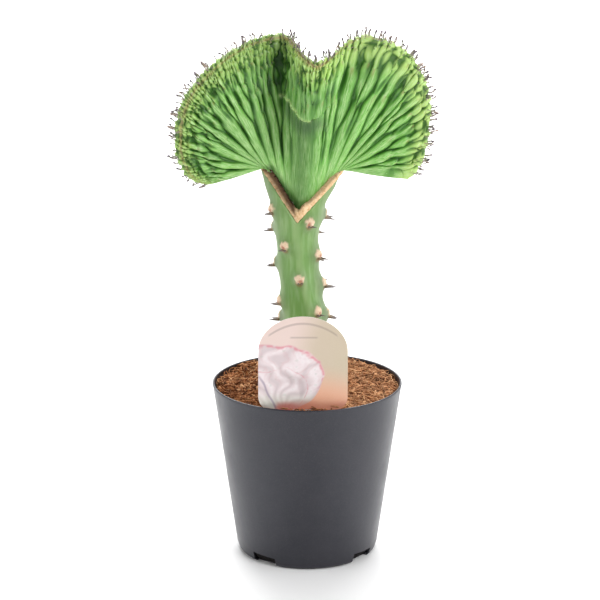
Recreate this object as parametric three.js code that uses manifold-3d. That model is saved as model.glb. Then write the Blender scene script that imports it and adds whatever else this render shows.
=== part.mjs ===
// A potted, grafted crest euphorbia: a fan-shaped crest grown on a spiny upright stem,
// in a black nursery pot of coir, with an arched plant label.
// Millimetres, +Z up. The origin is the centre of the pot's underside, and the crest
// faces -Y, spread along X.
import * as THREE from "three";
import { mergeVertices } from "three/addons/utils/BufferGeometryUtils.js";
import Module from "manifold-3d";

// ---------- driving dimensions ----------

// Two pieces that touch keep this gap.
const GAP = 0.3;

const POT = {
  height: 97,
  rimRadius: 52.5,
  footRadius: 38.8,
  cornerRadius: 3,
  wall: 1.2,
  slots: 4,
  firstSlotBearing: -38,
  slotWidth: 15,
  slotHeights: [6, 5.2],
  slotDepth: 5,
};
const POT_SIDES = 60;
const CORNER_TURNS = [20, 45, 70];
// How far a cutting block stands clear of what it cuts.
const CLEAR = 2;

// The coir's top falls from its middle to the wall: share of the radius, share of the rise.
const SOIL = { edgeDrop: 3.2, domeRise: 2, shoulder: [0.72, 0.6], crown: 0.35 };
const SOIL_SIDES = 48;

// Where the stem's centre line runs, how wide it is across X and how deep along Y.
const STEM_STATIONS = [
  { z: 62, x: -1, halfWidth: 10.4, halfDepth: 10.4 },
  { z: 92, x: -1, halfWidth: 11.6, halfDepth: 11.6 },
  { z: 122, x: -1.6, halfWidth: 11.9, halfDepth: 11.9 },
  { z: 141, x: -2.5, halfWidth: 12.1, halfDepth: 12 },
  { z: 158, x: -4.6, halfWidth: 11.7, halfDepth: 11.8 },
  { z: 172, x: -5.3, halfWidth: 11.6, halfDepth: 11.7 },
  { z: 184, x: -5.5, halfWidth: 12.4, halfDepth: 11.8 },
  { z: 192, x: -5.1, halfWidth: 13.7, halfDepth: 11.7 },
  { z: 200, x: -4.5, halfWidth: 15.6, halfDepth: 11.3 },
  { z: 209, x: -3.3, halfWidth: 19.2, halfDepth: 10 },
  { z: 219, x: -2.4, halfWidth: 22.8, halfDepth: 8 },
];
// Share of smooth easing between stations; the rest is straight.
const STEM_EASE = 0.35;
const STEM_FOOT = 62;
const STEM_TOP = 217;
const STEM_SIDES = 24;
const STEM_RIBS = 5;
const STEM_RIB_RELIEF = 0.5;
const STEM_RIB_BEARING = 0.35;
const STEM_RIB_TWIST = 0.045;

// The grafting cut is a V across the top of the stem: its left end, bottom and right end.
const CUT = { left: [-24.5, 217.5], bottom: [-5.4, 190], right: [20, 216.5] };
// The seat of the crest, on top of the healed callus that lines the cut.
const SEAT = { left: [-23, 218.8], bottom: [-4.9, 194.4], right: [18.6, 217.6] };
const CALLUS_PROUD = 1.05;
const CALLUS_LOW = 184;
const CALLUS_HIGH = 217.2;
// The block above a cut: how far it reaches to the sides, front and back, and up.
const CUT_REACH = { side: 30, depth: 40, top: 300 };

// Leaf scars up the stem, each with a pair of spines below it: height, then bearing
// round the stem in degrees from the front (-Y) towards +X.
const SCARS = [
  [190.4, 28], [196.5, -66], [193, 96], [185.5, -108], [177.2, -33], [182.5, 132],
  [171.5, 62], [172.5, 168], [166, -96], [164.5, -150], [159.2, 2], [154.5, 84],
  [156.5, 128], [149.5, -170], [145.8, -64], [140.5, 38], [136.5, 96], [138, 150],
  [134.5, -104], [131, -140],
];
const SCAR_RADIUS = 2.1;
const SCAR_RELIEF = 1.25;
const SCAR_SINK = 0.4;
const SPINE_LENGTH = 5;
const SPINE_RADIUS = 0.75;
const SPINE_SPREAD = 34;
const SPINE_DROOP = 14;
// The horny shield under each pair: a ball of this radius, widened and flattened.
const SHIELD_RADIUS = 0.94;
const SHIELD_SHAPE = [1.5, 0.75, 1];
const SHIELD_DROP = 2.6;
const SHIELD_STAND_OFF = 1.4;

// The middle of the crest's thick rim, from its lower left end over both lobes to its
// lower right end: across, depth (-Y is the front) and height.
const RIM_POINTS = [
  [-53, 1, 211], [-61, -2, 216.5], [-65.5, -5, 225], [-66.5, -7, 236], [-65, -9, 247],
  [-60.5, -10, 258], [-52, -10, 268.5], [-42.5, -8, 276.5], [-33, -3, 281.5],
  [-24, 7, 283.5], [-15.5, 13, 283.5], [-9, 4, 283], [-4.5, -9, 280], [0, -15, 276.5],
  [5.5, -16, 274.5], [11.5, -13, 277.5], [19.5, -9, 283], [29.5, -9, 287],
  [41, -12, 285], [51.5, -11, 278], [57.5, -8, 268], [61, -4, 258], [62, -2, 247],
  [61, 0, 235], [57.5, 2, 224], [52, 3, 214],
];
const RIM_THICKNESS = 6;
const RIM_LEAN = 0.5;
const FAN_THICKNESS = 4.3;
const TRUNK_THICKNESS = 8.2;
const TRUNK_SPREAD = 0.24;
const FOOT_SHARE = 0.5;
const EDGE_ROUNDING = 0.05;
const EDGE_LEAST = 0.28;
const EDGE_BOW = 0.8;
const FOOT_CROWDING = 0.14;
const FOOT_REACH = 0.97;
const FOOT_EVEN = 0.12;
// The fan's folds: where along it each is centred, how wide it is and how deep it swings.
const VALLEY = { along: 0.4, width: 0.05, depth: 4 };
const BELLY = { along: 0.5, width: 0.2, depth: -3 };
const RIM_SWING = 1.6;
const BOW_SHARE = 0.22;
const COLUMNS = 64;
const FACE_STEPS = 9;
const RIM_STEPS = 6;

const LABEL = {
  centreX: -2.4,
  width: 48,
  foot: 94,
  shoulder: 127,
  top: 147,
  cornerRadius: 5,
  thickness: 0.7,
  stakeWidth: 11,
  stakeFoot: 66,
  stakePoint: 8,
  front: -43.6,
  lean: 3,
};

const COLOURS = {
  pot: 0x2c2c31,
  soil: 0x8a5330,
  stem: 0x6f9557,
  callus: 0xcfa377,
  crest: 0x6fa04f,
  label: 0xe2cfc2,
  spine: 0x6b4f4c,
};

// ---------- helpers ----------

const wasm = await Module();
wasm.setup();

const radians = THREE.MathUtils.degToRad;
const lerp = THREE.MathUtils.lerp;
const smoothstep = (low, high, value) => THREE.MathUtils.smoothstep(value, low, high);

// A closed three.js geometry as a solid that can be joined and cut.
function solidOf(geometry) {
  const bare = geometry.clone();
  bare.deleteAttribute("normal");
  bare.deleteAttribute("uv");
  const merged = mergeVertices(bare, 1e-5);
  const vertProperties = new Float32Array(merged.attributes.position.array);
  const triVerts = new Uint32Array(merged.index.array);
  return new wasm.Manifold(new wasm.Mesh({ numProp: 3, vertProperties, triVerts }));
}

function geometryOf(solid) {
  const mesh = solid.getMesh();
  const geometry = new THREE.BufferGeometry();
  const positions = new THREE.BufferAttribute(new Float32Array(mesh.vertProperties), 3);
  geometry.setAttribute("position", positions);
  geometry.setIndex(new THREE.BufferAttribute(new Uint32Array(mesh.triVerts), 1));
  geometry.computeVertexNormals();
  return geometry;
}

// A closed surface from rings of equal length; the first and last rings are capped by
// strips between their two halves.
function skinRings(rings) {
  const count = rings[0].length;
  const positions = rings.flat().flatMap((p) => [p.x, p.y, p.z]);
  const index = [];
  for (let i = 0; i + 1 < rings.length; i += 1) {
    for (let j = 0; j < count; j += 1) {
      const a = i * count + j;
      const b = i * count + ((j + 1) % count);
      index.push(a, b, b + count, a, b + count, a + count);
    }
  }
  const last = (rings.length - 1) * count;
  for (let j = 0; j + 1 < count / 2; j += 1) {
    const a = j;
    const b = j + 1;
    const c = count - 2 - j;
    const d = count - 1 - j;
    index.push(a, d, c, a, c, b);
    index.push(last + a, last + b, last + c, last + a, last + c, last + d);
  }
  const geometry = new THREE.BufferGeometry();
  geometry.setAttribute("position", new THREE.Float32BufferAttribute(positions, 3));
  geometry.setIndex(index.filter((v, k) => !isFlat(index, k)));
  geometry.computeVertexNormals();
  return geometry;
}

// True for an index that belongs to a triangle with a repeated corner.
function isFlat(index, k) {
  const first = k - (k % 3);
  const [a, b, c] = [index[first], index[first + 1], index[first + 2]];
  return a === b || b === c || a === c;
}

// A profile of [radius, height] pairs turned round the Z axis.
function lathe(profile, segments) {
  const points = profile.map(([radius, height]) => new THREE.Vector2(radius, height));
  return new THREE.LatheGeometry(points, segments).rotateX(Math.PI / 2);
}

// An outline in X and Z, extruded along Y from the front to the back.
function extrudeAlongY(outline, front, back, curveSegments = 8) {
  const settings = { depth: back - front, bevelEnabled: false, curveSegments };
  const geometry = new THREE.ExtrudeGeometry(outline, settings);
  return geometry.rotateX(Math.PI / 2).translate(0, back, 0);
}

const outlineOf = (points) => new THREE.Shape(points.map(([x, z]) => new THREE.Vector2(x, z)));

function finish(name, geometry, colour, roughness) {
  const material = new THREE.MeshStandardMaterial({ color: colour, roughness, metalness: 0 });
  const mesh = new THREE.Mesh(geometry, material);
  mesh.name = name;
  return mesh;
}

// ---------- pot and coir ----------

const potRadiusAt = (z) => lerp(POT.footRadius, POT.rimRadius, z / POT.height);

// A drain slot through the pot's lower corner: a block whose top slants.
function drainSlot(bearing) {
  const half = POT.slotWidth / 2;
  const [leftHeight, rightHeight] = POT.slotHeights;
  const outline = outlineOf([
    [-half, -CLEAR], [half, -CLEAR], [half, rightHeight], [-half, leftHeight],
  ]);
  const block = extrudeAlongY(outline, -POT.footRadius - CLEAR, -POT.footRadius + POT.slotDepth);
  return solidOf(block.rotateZ(radians(bearing)));
}

function makePot() {
  const corner = CORNER_TURNS.map((degrees) => {
    const turn = radians(degrees);
    const reach = POT.footRadius - POT.cornerRadius * (1 - Math.sin(turn));
    return [reach, POT.cornerRadius * (1 - Math.cos(turn))];
  });
  const profile = [
    [0, 0],
    [POT.footRadius - POT.cornerRadius, 0],
    ...corner,
    [potRadiusAt(POT.cornerRadius), POT.cornerRadius],
    [potRadiusAt(POT.height), POT.height],
    [potRadiusAt(POT.height) - POT.wall, POT.height],
    [potRadiusAt(POT.cornerRadius) - POT.wall, POT.cornerRadius],
    [POT.footRadius - POT.cornerRadius, POT.wall],
    [0, POT.wall],
  ];
  let pot = solidOf(lathe(profile, POT_SIDES));
  for (let i = 0; i < POT.slots; i += 1) {
    pot = pot.subtract(drainSlot(POT.firstSlotBearing + (i * 360) / POT.slots));
  }
  return finish("pot", geometryOf(pot), COLOURS.pot, 0.35);
}

function makeGrowingMedium(stem, label) {
  const inside = (z) => potRadiusAt(z) - POT.wall - GAP;
  const floor = POT.wall + GAP;
  const edge = POT.height - SOIL.edgeDrop;
  const corner = POT.cornerRadius + POT.wall;
  const profile = [
    [0, floor],
    [POT.footRadius - corner, floor],
    [inside(corner), corner],
    [inside(edge), edge],
    [inside(edge) * SOIL.shoulder[0], edge + SOIL.domeRise * SOIL.shoulder[1]],
    [inside(edge) * SOIL.crown, edge + SOIL.domeRise],
    [0, edge + SOIL.domeRise],
  ];
  const fill = solidOf(lathe(profile, SOIL_SIDES));
  const cut = fill.subtract(solidOf(stem)).subtract(solidOf(label));
  return finish("growing_medium", geometryOf(cut), COLOURS.soil, 0.95);
}

// ---------- rootstock ----------

// The stem's centre line, width and depth at any height.
function stemAt(z) {
  const upper = Math.max(1, STEM_STATIONS.findIndex((station) => station.z >= z));
  const [a, b] = [STEM_STATIONS[upper - 1], STEM_STATIONS[upper]];
  const share = (z - a.z) / (b.z - a.z);
  const t = lerp(share, smoothstep(0, 1, share), STEM_EASE);
  const mix = (key) => lerp(a[key], b[key], t);
  return { x: mix("x"), halfWidth: mix("halfWidth"), halfDepth: mix("halfDepth") };
}

// A point on the stem's skin, standing proud of it by a distance.
function stemSkin(z, bearing, proud) {
  const { x, halfWidth, halfDepth } = stemAt(z);
  const turn = STEM_RIBS * (bearing - STEM_RIB_BEARING) + z * STEM_RIB_TWIST;
  const reach = Math.cos(turn) * STEM_RIB_RELIEF + proud;
  return new THREE.Vector3(
    x + Math.sin(bearing) * (halfWidth + reach),
    -Math.cos(bearing) * (halfDepth + reach),
    z,
  );
}

// The stem before it is cut, as rings of points.
function stemBody(proud, low, high, steps) {
  const rings = [];
  for (let i = 0; i <= steps; i += 1) {
    const z = lerp(low, high, i / steps);
    const ring = [];
    for (let j = 0; j < STEM_SIDES; j += 1) {
      ring.push(stemSkin(z, (j / STEM_SIDES) * 2 * Math.PI, proud));
    }
    rings.push(ring);
  }
  return skinRings(rings);
}

// A low round leaf scar on the stem, as a knob sunk into the skin.
function leafScar([z, degrees]) {
  const bearing = radians(degrees);
  const knob = new THREE.SphereGeometry(SCAR_RADIUS, 8, 6);
  knob.scale(1, (SCAR_RELIEF + SCAR_SINK) / SCAR_RADIUS, 1);
  knob.rotateZ(bearing);
  const place = stemSkin(z, bearing, -SCAR_SINK);
  return solidOf(knob.translate(place.x, place.y, place.z));
}

// Everything above the V of the cut.
function aboveCut({ left, bottom, right }, drop) {
  const { side, depth, top } = CUT_REACH;
  const slope = (from) => (from[1] - bottom[1]) / (from[0] - bottom[0]);
  const leftEnd = [bottom[0] - side, bottom[1] - slope(left) * side - drop];
  const rightEnd = [bottom[0] + side, bottom[1] + slope(right) * side - drop];
  const outline = outlineOf([
    [bottom[0], bottom[1] - drop], rightEnd, [rightEnd[0], top], [leftEnd[0], top], leftEnd,
  ]);
  return solidOf(extrudeAlongY(outline, -depth, depth));
}

function makeRootstock() {
  let stem = solidOf(stemBody(0, STEM_FOOT, STEM_TOP, 20));
  for (const scar of SCARS) {
    stem = stem.add(leafScar(scar));
  }
  stem = stem.subtract(aboveCut(CUT, GAP));
  return finish("rootstock", geometryOf(stem), COLOURS.stem, 0.6);
}

function makeCallus() {
  const sleeve = solidOf(stemBody(CALLUS_PROUD, CALLUS_LOW, CALLUS_HIGH, 8));
  const band = sleeve.intersect(aboveCut(CUT, 0)).subtract(aboveCut(SEAT, 0));
  return finish("graft_callus", geometryOf(band), COLOURS.callus, 0.75);
}

// ---------- spines ----------

// One tapering spine from a point in a direction.
function spine(start, direction, length) {
  const cone = new THREE.ConeGeometry(SPINE_RADIUS, length, 5).translate(0, length / 2, 0);
  const turn = new THREE.Quaternion();
  turn.setFromUnitVectors(new THREE.Vector3(0, 1, 0), direction);
  return cone.applyQuaternion(turn).translate(start.x, start.y, start.z);
}

// A pair of spines on one horny shield, just below a leaf scar.
function makeSpinePair([z, degrees], number) {
  const bearing = radians(degrees);
  const root = stemSkin(z - SHIELD_DROP, bearing, SHIELD_STAND_OFF);
  const shield = new THREE.SphereGeometry(SHIELD_RADIUS, 6, 4).scale(...SHIELD_SHAPE);
  let pair = solidOf(shield.rotateZ(bearing).translate(root.x, root.y, root.z));
  for (const side of [-1, 1]) {
    const heading = bearing + side * radians(SPINE_SPREAD);
    const drop = -Math.sin(radians(SPINE_DROOP));
    const direction = new THREE.Vector3(Math.sin(heading), -Math.cos(heading), drop).normalize();
    pair = pair.add(solidOf(spine(root, direction, SPINE_LENGTH)));
  }
  const name = `spine_pair_${String(number + 1).padStart(2, "0")}`;
  return finish(name, geometryOf(pair), COLOURS.spine, 0.5);
}

// ---------- crest ----------

const RIM = new THREE.CatmullRomCurve3(
  RIM_POINTS.map(([x, y, z]) => new THREE.Vector3(x, y, z)),
  false,
  "centripetal",
);
RIM.arcLengthDivisions = 600;

// Where the crest's foot sits in the seat, for a place along the fan from 0 to 1.
function footAt(along) {
  const eased = lerp(smoothstep(FOOT_CROWDING, 1 - FOOT_CROWDING, along), along, FOOT_EVEN);
  const side = eased < 0.5 ? SEAT.left : SEAT.right;
  const reach = Math.abs(eased - 0.5) * 2;
  const x = lerp(SEAT.bottom[0], side[0], reach * FOOT_REACH);
  const z = lerp(SEAT.bottom[1], side[1], reach * FOOT_REACH) + GAP * 2;
  return new THREE.Vector3(x, 0, z);
}

// 1 at the middle, falling away smoothly to both sides.
const bell = (value, middle, width) => Math.exp(-(((value - middle) / width) ** 2));

// How far the middle of the fan swings forward or back between foot and rim.
function fanDepth(along, up, rimDepth) {
  const swing = (fold) => bell(along, fold.along, fold.width) * fold.depth * Math.sin(Math.PI * up);
  return rimDepth * up ** RIM_SWING + swing(VALLEY) + swing(BELLY);
}

// Half the fan's thickness: stout at the foot, thinner in the middle, swollen at the rim.
function fanThickness(along, up) {
  const trunk = TRUNK_THICKNESS * bell(along, 0.5, TRUNK_SPREAD);
  const risen = smoothstep(0, FOOT_SHARE, up);
  const foot = Math.max(trunk, FAN_THICKNESS) * (1 - risen);
  const upper = lerp(FAN_THICKNESS, RIM_THICKNESS, smoothstep(FOOT_SHARE, 1, up)) * risen;
  const inset = Math.min(along, 1 - along) / EDGE_ROUNDING;
  const rounding = inset >= 1 ? 1 : Math.max(EDGE_LEAST, Math.sqrt(1 - (1 - inset) ** 2));
  return (foot + upper) * rounding;
}

// One ring of the crest: up its front face, over the rim and down its back face.
function crestRing(along) {
  const foot = footAt(along);
  const rim = RIM.getPointAt(along);
  const depthAt = (up) => fanDepth(along, up, rim.y);
  const bow = EDGE_BOW * (1 - smoothstep(0, BOW_SHARE, Math.min(along, 1 - along)));
  const front = [];
  const back = [];
  for (let i = 0; i <= FACE_STEPS; i += 1) {
    const up = i / FACE_STEPS;
    const x = lerp(foot.x, rim.x, up);
    const z = lerp(foot.z, rim.z, up) + bow * Math.sin(Math.PI * up);
    const half = fanThickness(along, up);
    front.push(new THREE.Vector3(x, depthAt(up) - half, z));
    back.push(new THREE.Vector3(x, depthAt(up) + half, z));
  }
  const outward = new THREE.Vector3(rim.x - foot.x, 0, rim.z - foot.z).normalize();
  const half = fanThickness(along, 1);
  const cap = [];
  for (let i = 1; i < RIM_STEPS; i += 1) {
    const turn = (Math.PI * i) / RIM_STEPS;
    const bulge = half * Math.sin(turn);
    const across = -half * Math.cos(turn) - RIM_LEAN * bulge * 0.5;
    const point = new THREE.Vector3(rim.x, depthAt(1) + across, rim.z);
    cap.push(point.addScaledVector(outward, bulge));
  }
  return [...front, ...cap, ...back.reverse()];
}

// Rings run from the right end to the left, so that the skin faces outwards.
function makeCrest() {
  const rings = [];
  for (let i = COLUMNS; i >= 0; i -= 1) {
    rings.push(crestRing(i / COLUMNS));
  }
  return finish("crest", skinRings(rings), COLOURS.crest, 0.55);
}

// ---------- label ----------

// The label's outline, arched over the top and pointed at its stake, grown by a margin.
function labelOutline(margin) {
  const half = LABEL.width / 2 + margin;
  const corner = LABEL.cornerRadius;
  const foot = LABEL.foot - margin;
  const stake = LABEL.stakeWidth / 2 + margin;
  const outline = new THREE.Shape();
  outline.moveTo(-stake, foot);
  outline.lineTo(-half + corner, foot);
  outline.absarc(-half + corner, foot + corner, corner, -Math.PI / 2, -Math.PI, true);
  outline.lineTo(-half, LABEL.shoulder);
  const rise = LABEL.top - LABEL.shoulder + margin;
  outline.absellipse(0, LABEL.shoulder, half, rise, Math.PI, 0, true);
  outline.lineTo(half, foot + corner);
  outline.absarc(half - corner, foot + corner, corner, 0, -Math.PI / 2, true);
  outline.lineTo(stake, foot);
  outline.lineTo(stake, LABEL.stakeFoot + LABEL.stakePoint);
  outline.lineTo(0, LABEL.stakeFoot - margin);
  outline.lineTo(-stake, LABEL.stakeFoot + LABEL.stakePoint);
  outline.closePath();
  return outline;
}

function labelBody(margin) {
  const half = LABEL.thickness / 2 + margin;
  const plate = extrudeAlongY(labelOutline(margin), -half, half, 7);
  plate.translate(0, 0, -LABEL.foot).rotateX(-radians(LABEL.lean));
  return plate.translate(LABEL.centreX, LABEL.front, LABEL.foot);
}

// ---------- assembly ----------

const plant = new THREE.Group();
// The part of the stem that stands in the coir, grown by the gap that the coir keeps from it.
const heldStem = stemBody(GAP, STEM_FOOT - GAP, POT.height + CLEAR, 6);
plant.add(makePot());
plant.add(makeGrowingMedium(heldStem, labelBody(GAP)));
plant.add(makeRootstock());
plant.add(makeCallus());
plant.add(makeCrest());
plant.add(finish("plant_label", labelBody(0), COLOURS.label, 0.3));
SCARS.forEach((scar, number) => plant.add(makeSpinePair(scar, number)));

export default plant;
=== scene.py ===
# %% [markdown]
# # A grafted crest euphorbia in its nursery pot
#
# The object is a houseplant of two plants in one. A spiny green stem, the rootstock, stands in a
# black nursery pot of coir. On its top sits the crest: a plant whose growing tip has spread into a
# line, so that it grows as a pleated fan. A tan V of healed tissue, the callus, joins the two.
# An arched plastic label is pushed into the coir in front.
#
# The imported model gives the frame: where each piece is and how large. This script makes the looks
# of each piece in that frame. Sizes are in millimetres until a mesh is made, unless a line says
# otherwise.

# %% Load the frame
import math

import bpy
import numpy as np
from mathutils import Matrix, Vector


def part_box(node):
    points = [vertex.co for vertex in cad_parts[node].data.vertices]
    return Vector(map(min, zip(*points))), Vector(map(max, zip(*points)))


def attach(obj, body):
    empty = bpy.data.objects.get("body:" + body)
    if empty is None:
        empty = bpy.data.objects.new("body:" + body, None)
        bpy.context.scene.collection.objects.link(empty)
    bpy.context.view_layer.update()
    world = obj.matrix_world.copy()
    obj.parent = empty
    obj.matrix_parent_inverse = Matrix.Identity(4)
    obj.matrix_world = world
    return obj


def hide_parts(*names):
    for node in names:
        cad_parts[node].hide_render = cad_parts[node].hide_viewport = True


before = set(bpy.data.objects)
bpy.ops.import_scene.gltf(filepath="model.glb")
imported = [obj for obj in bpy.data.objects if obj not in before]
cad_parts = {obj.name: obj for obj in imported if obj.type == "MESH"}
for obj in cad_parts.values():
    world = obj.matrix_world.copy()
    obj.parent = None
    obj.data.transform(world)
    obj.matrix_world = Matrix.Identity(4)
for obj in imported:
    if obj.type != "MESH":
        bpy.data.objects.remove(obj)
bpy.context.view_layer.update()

MM = 0.001
print("nodes in the frame:", len(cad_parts))

# %% [markdown]
# ## Helpers for meshes
#
# A grown thing is mostly smooth skins over a grid: rows up the thing, columns round it. A grid in
# numpy is quick to shape with formulas, and its neighbours are known, so normals and grooves are
# easy. The helpers below turn a grid into faces, lift it along its normals, and make the object.

# %% Grid, noise and object helpers
def blend(low, high, value):
    """0 below low, 1 above high, and an even, smooth step between them."""
    t = np.clip((value - low) / (high - low), 0.0, 1.0)
    return t * t * (3.0 - 2.0 * t)


def grid_faces(rows, columns, wrap=True):
    """Quads over a grid of points stored row by row; wrap joins the last column to the first."""
    across = np.arange(columns if wrap else columns - 1)
    a = (np.arange(rows - 1)[:, None] * columns + across).ravel()
    b = (np.arange(rows - 1)[:, None] * columns + (across + 1) % columns).ravel()
    return np.stack([a, b, b + columns, a + columns], axis=1)


def grid_normals(points, wrap_columns):
    """Unit normals of a grid (rows, columns, 3), from the slopes between neighbours."""
    down = np.gradient(points, axis=0)
    if wrap_columns:
        across = np.roll(points, -1, axis=1) - np.roll(points, 1, axis=1)
    else:
        across = np.gradient(points, axis=1)
    normal = np.cross(across, down)
    return normal / np.maximum(np.linalg.norm(normal, axis=2, keepdims=True), 1e-9)


def ripple(points, size, seed):
    """Soft, seeded lumps between about -1 and 1: a sum of waves in random directions."""
    random = np.random.default_rng(seed)
    total = np.zeros(points.shape[:-1])
    for _ in range(9):
        direction = random.normal(size=3)
        direction *= 2 * math.pi / (size * random.uniform(0.7, 1.6) * np.linalg.norm(direction))
        total += np.sin(points @ direction + random.uniform(0, 2 * math.pi))
    return total / 4.5


def new_object(name, points, faces, material=None, smooth=True):
    """A mesh object from points in millimetres; faces is a list of index arrays."""
    mesh = bpy.data.meshes.new(name)
    corners = [face for group in faces for face in np.asarray(group).tolist()]
    mesh.from_pydata((np.asarray(points).reshape(-1, 3) * MM).tolist(), [], corners)
    mesh.polygons.foreach_set("use_smooth", [smooth] * len(mesh.polygons))
    mesh.update()
    made = bpy.data.objects.new(name, mesh)
    bpy.context.scene.collection.objects.link(made)
    if material:
        mesh.materials.append(material)
    return made


MARK_FIELDS = {"FLOAT": "value", "FLOAT_VECTOR": "vector", "FLOAT_COLOR": "color"}


def mark(made, name, values, kind="FLOAT"):
    """Store a number, vector or colour for each point, for the material or the node tree."""
    layer = made.data.attributes.new(name, kind, "POINT")
    layer.data.foreach_set(MARK_FIELDS[kind], np.asarray(values, dtype=np.float32).ravel())


def report(made):
    size = np.array(made.dimensions) / MM
    triangles = sum(len(face.vertices) - 2 for face in made.data.polygons)
    print(f"{made.name}: {size.round(1)} mm, {triangles} triangles")


# %% [markdown]
# ## Helpers for node trees
#
# Materials and Geometry Nodes are both trees of nodes joined by links. Writing each node out by
# hand hides the idea, so one small class adds a node, sets its values and links its inputs in one
# call. Most finishes are built like paint: a first colour, then coats of other colours, each with
# a mask that says where it lies. A value that is the same all over a surface goes straight on the
# shader's own socket.

# %% Node helpers
def linear(red, green, blue):
    """A colour from its screen values, 0 to 255, as the linear values a shader takes."""
    values = (red, green, blue)
    return tuple(((v / 255 + 0.055) / 1.055) ** 2.4 if v > 10 else v / 3294 for v in values)


def socket_value(colour):
    """A colour as a socket takes it: from screen values, or from one number for a grey."""
    if isinstance(colour, tuple):
        return (*linear(*colour), 1.0)
    return colour if isinstance(colour, bpy.types.NodeSocket) else (colour, colour, colour, 1.0)


class Tree:
    """Adds nodes to a tree; an input given as a socket is linked, and any other is set."""

    def __init__(self, tree):
        self.tree = tree

    def add(self, kind, inputs=None, **settings):
        node = self.tree.nodes.new(kind)
        for key, value in settings.items():
            setattr(node, key, value)
        for key, value in (inputs or {}).items():
            if isinstance(value, bpy.types.NodeSocket):
                self.tree.links.new(value, node.inputs[key])
            else:
                node.inputs[key].default_value = value
        return node

    def first(self, kind, inputs=None, **settings):
        """Add a node and give back its first output."""
        return self.add(kind, inputs, **settings).outputs[0]

    def math(self, operation, first, second=0.0):
        return self.first("ShaderNodeMath", {0: first, 1: second}, operation=operation)

    def attribute(self, name, output="Fac"):
        return self.add("ShaderNodeAttribute", attribute_name=name).outputs[output]

    def times(self, mask, share):
        """A mask, or the attribute of that name, made weaker."""
        mask = self.attribute(mask) if isinstance(mask, str) else mask
        return self.math("MULTIPLY", mask, share)

    def spread(self, value, low=0.0, high=1.0, to_low=0.0, to_high=1.0):
        """Carry a value from one span over to another."""
        spans = {"From Min": low, "From Max": high, "To Min": to_low, "To Max": to_high}
        return self.first("ShaderNodeMapRange", {"Value": value, **spans})

    def ramp(self, factor, stops):
        """A colour ramp from (place, colour) stops."""
        node = self.add("ShaderNodeValToRGB", {"Fac": factor})
        while len(node.color_ramp.elements) < len(stops):
            node.color_ramp.elements.new(1.0)
        for element, (place, colour) in zip(node.color_ramp.elements, stops):
            element.position = place
            element.color = socket_value(colour)
        return node.outputs["Color"]

    def mix(self, factor, under, over, blend_type="MIX"):
        """Mix two colours."""
        values = {0: factor, 6: socket_value(under), 7: socket_value(over)}
        node = self.add("ShaderNodeMix", values, data_type="RGBA", blend_type=blend_type)
        return node.outputs[2]

    def layers(self, colour, coats):
        """Lay coats of (mask, colour) over a colour, one after another."""
        for mask, over in coats:
            colour = self.mix(mask, colour, over)
        return colour

    def place(self):
        """The piece's own object coordinates, in metres."""
        return self.add("ShaderNodeTexCoord").outputs["Object"]

    def noise(self, scale, detail=3.0, roughness=0.5, coordinates=None):
        where = coordinates or self.place()
        values = {"Vector": where, "Scale": scale, "Detail": detail, "Roughness": roughness}
        return self.first("ShaderNodeTexNoise", values)


def new_material(name, **constants):
    """A Principled material whose constant values sit on the shader's own sockets."""
    material = bpy.data.materials.new(name)
    material.use_nodes = True
    shader = material.node_tree.nodes["Principled BSDF"]
    for key, value in constants.items():
        shader.inputs[key.replace("_", " ")].default_value = value
    print("material:", name)
    return material, Tree(material.node_tree), shader


def feed(tree, shader, **sockets):
    """Link varying colours and values to the shader."""
    for key, socket in sockets.items():
        tree.tree.links.new(socket, shader.inputs[key.replace("_", " ")])


def bump(tree, shader, height, distance, strength=1.0):
    values = {"Height": height, "Distance": distance * MM, "Strength": strength}
    node = tree.add("ShaderNodeBump", values)
    tree.tree.links.new(node.outputs["Normal"], shader.inputs["Normal"])


# %% [markdown]
# ## Two effects that several finishes share
#
# Living skin is never one green: cells, wax and light damage make soft patches and fine specks.
# Cork and coir have a coarse broken grain. Both effects are made once as node groups, with a size
# input, and each finish places them with its own values. They put out masks and heights only.

# %% Shared shader groups
def shader_group(name, build, outputs):
    """A group with one Size input in millimetres and some number outputs."""
    group = bpy.data.node_groups.new(name, "ShaderNodeTree")
    size = group.interface.new_socket("Size", in_out="INPUT", socket_type="NodeSocketFloat")
    size.default_value = 1.0
    for output in outputs:
        group.interface.new_socket(output, in_out="OUTPUT", socket_type="NodeSocketFloat")
    tree = Tree(group)
    source = tree.add("NodeGroupInput")
    result = tree.add("NodeGroupOutput")
    scale = tree.math("DIVIDE", 1.0 / MM, source.outputs["Size"])
    for output, socket in zip(outputs, build(tree, scale)):
        group.links.new(socket, result.inputs[output])
    return group


def mottled_skin(tree, scale):
    patches = tree.noise(scale, detail=4.0, roughness=0.6)
    specks = tree.noise(tree.times(scale, 7.0), detail=2.0)
    return [tree.spread(patches, 0.3, 0.7), specks]


def broken_grain(tree, scale):
    cells = tree.first("ShaderNodeTexVoronoi", {"Vector": tree.place(), "Scale": scale})
    crumbs = tree.noise(scale, detail=6.0, roughness=0.7)
    return [tree.math("ADD", cells, crumbs), crumbs]


skin_group = shader_group("mottled skin", mottled_skin, ["Patches", "Specks"])
grain_group = shader_group("broken grain", broken_grain, ["Height", "Crumbs"])


def place_group(tree, group, size):
    """Place a shared effect at a size in millimetres, and give back its two outputs."""
    node = tree.add("ShaderNodeGroup", node_tree=group)
    node.inputs["Size"].default_value = size
    return node.outputs[0], node.outputs[1]


print("shared effects:", skin_group.name, "and", grain_group.name)

# %% [markdown]
# ## Studio and camera
#
# The camera stands about 1.25 m in front of the pot and looks down a little, through a long lens,
# so that the far and near rims of the pot keep nearly the same width. A wide, pale floor fills the
# view, and large soft lights with a bright world leave only a faint shadow under the pot.

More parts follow.
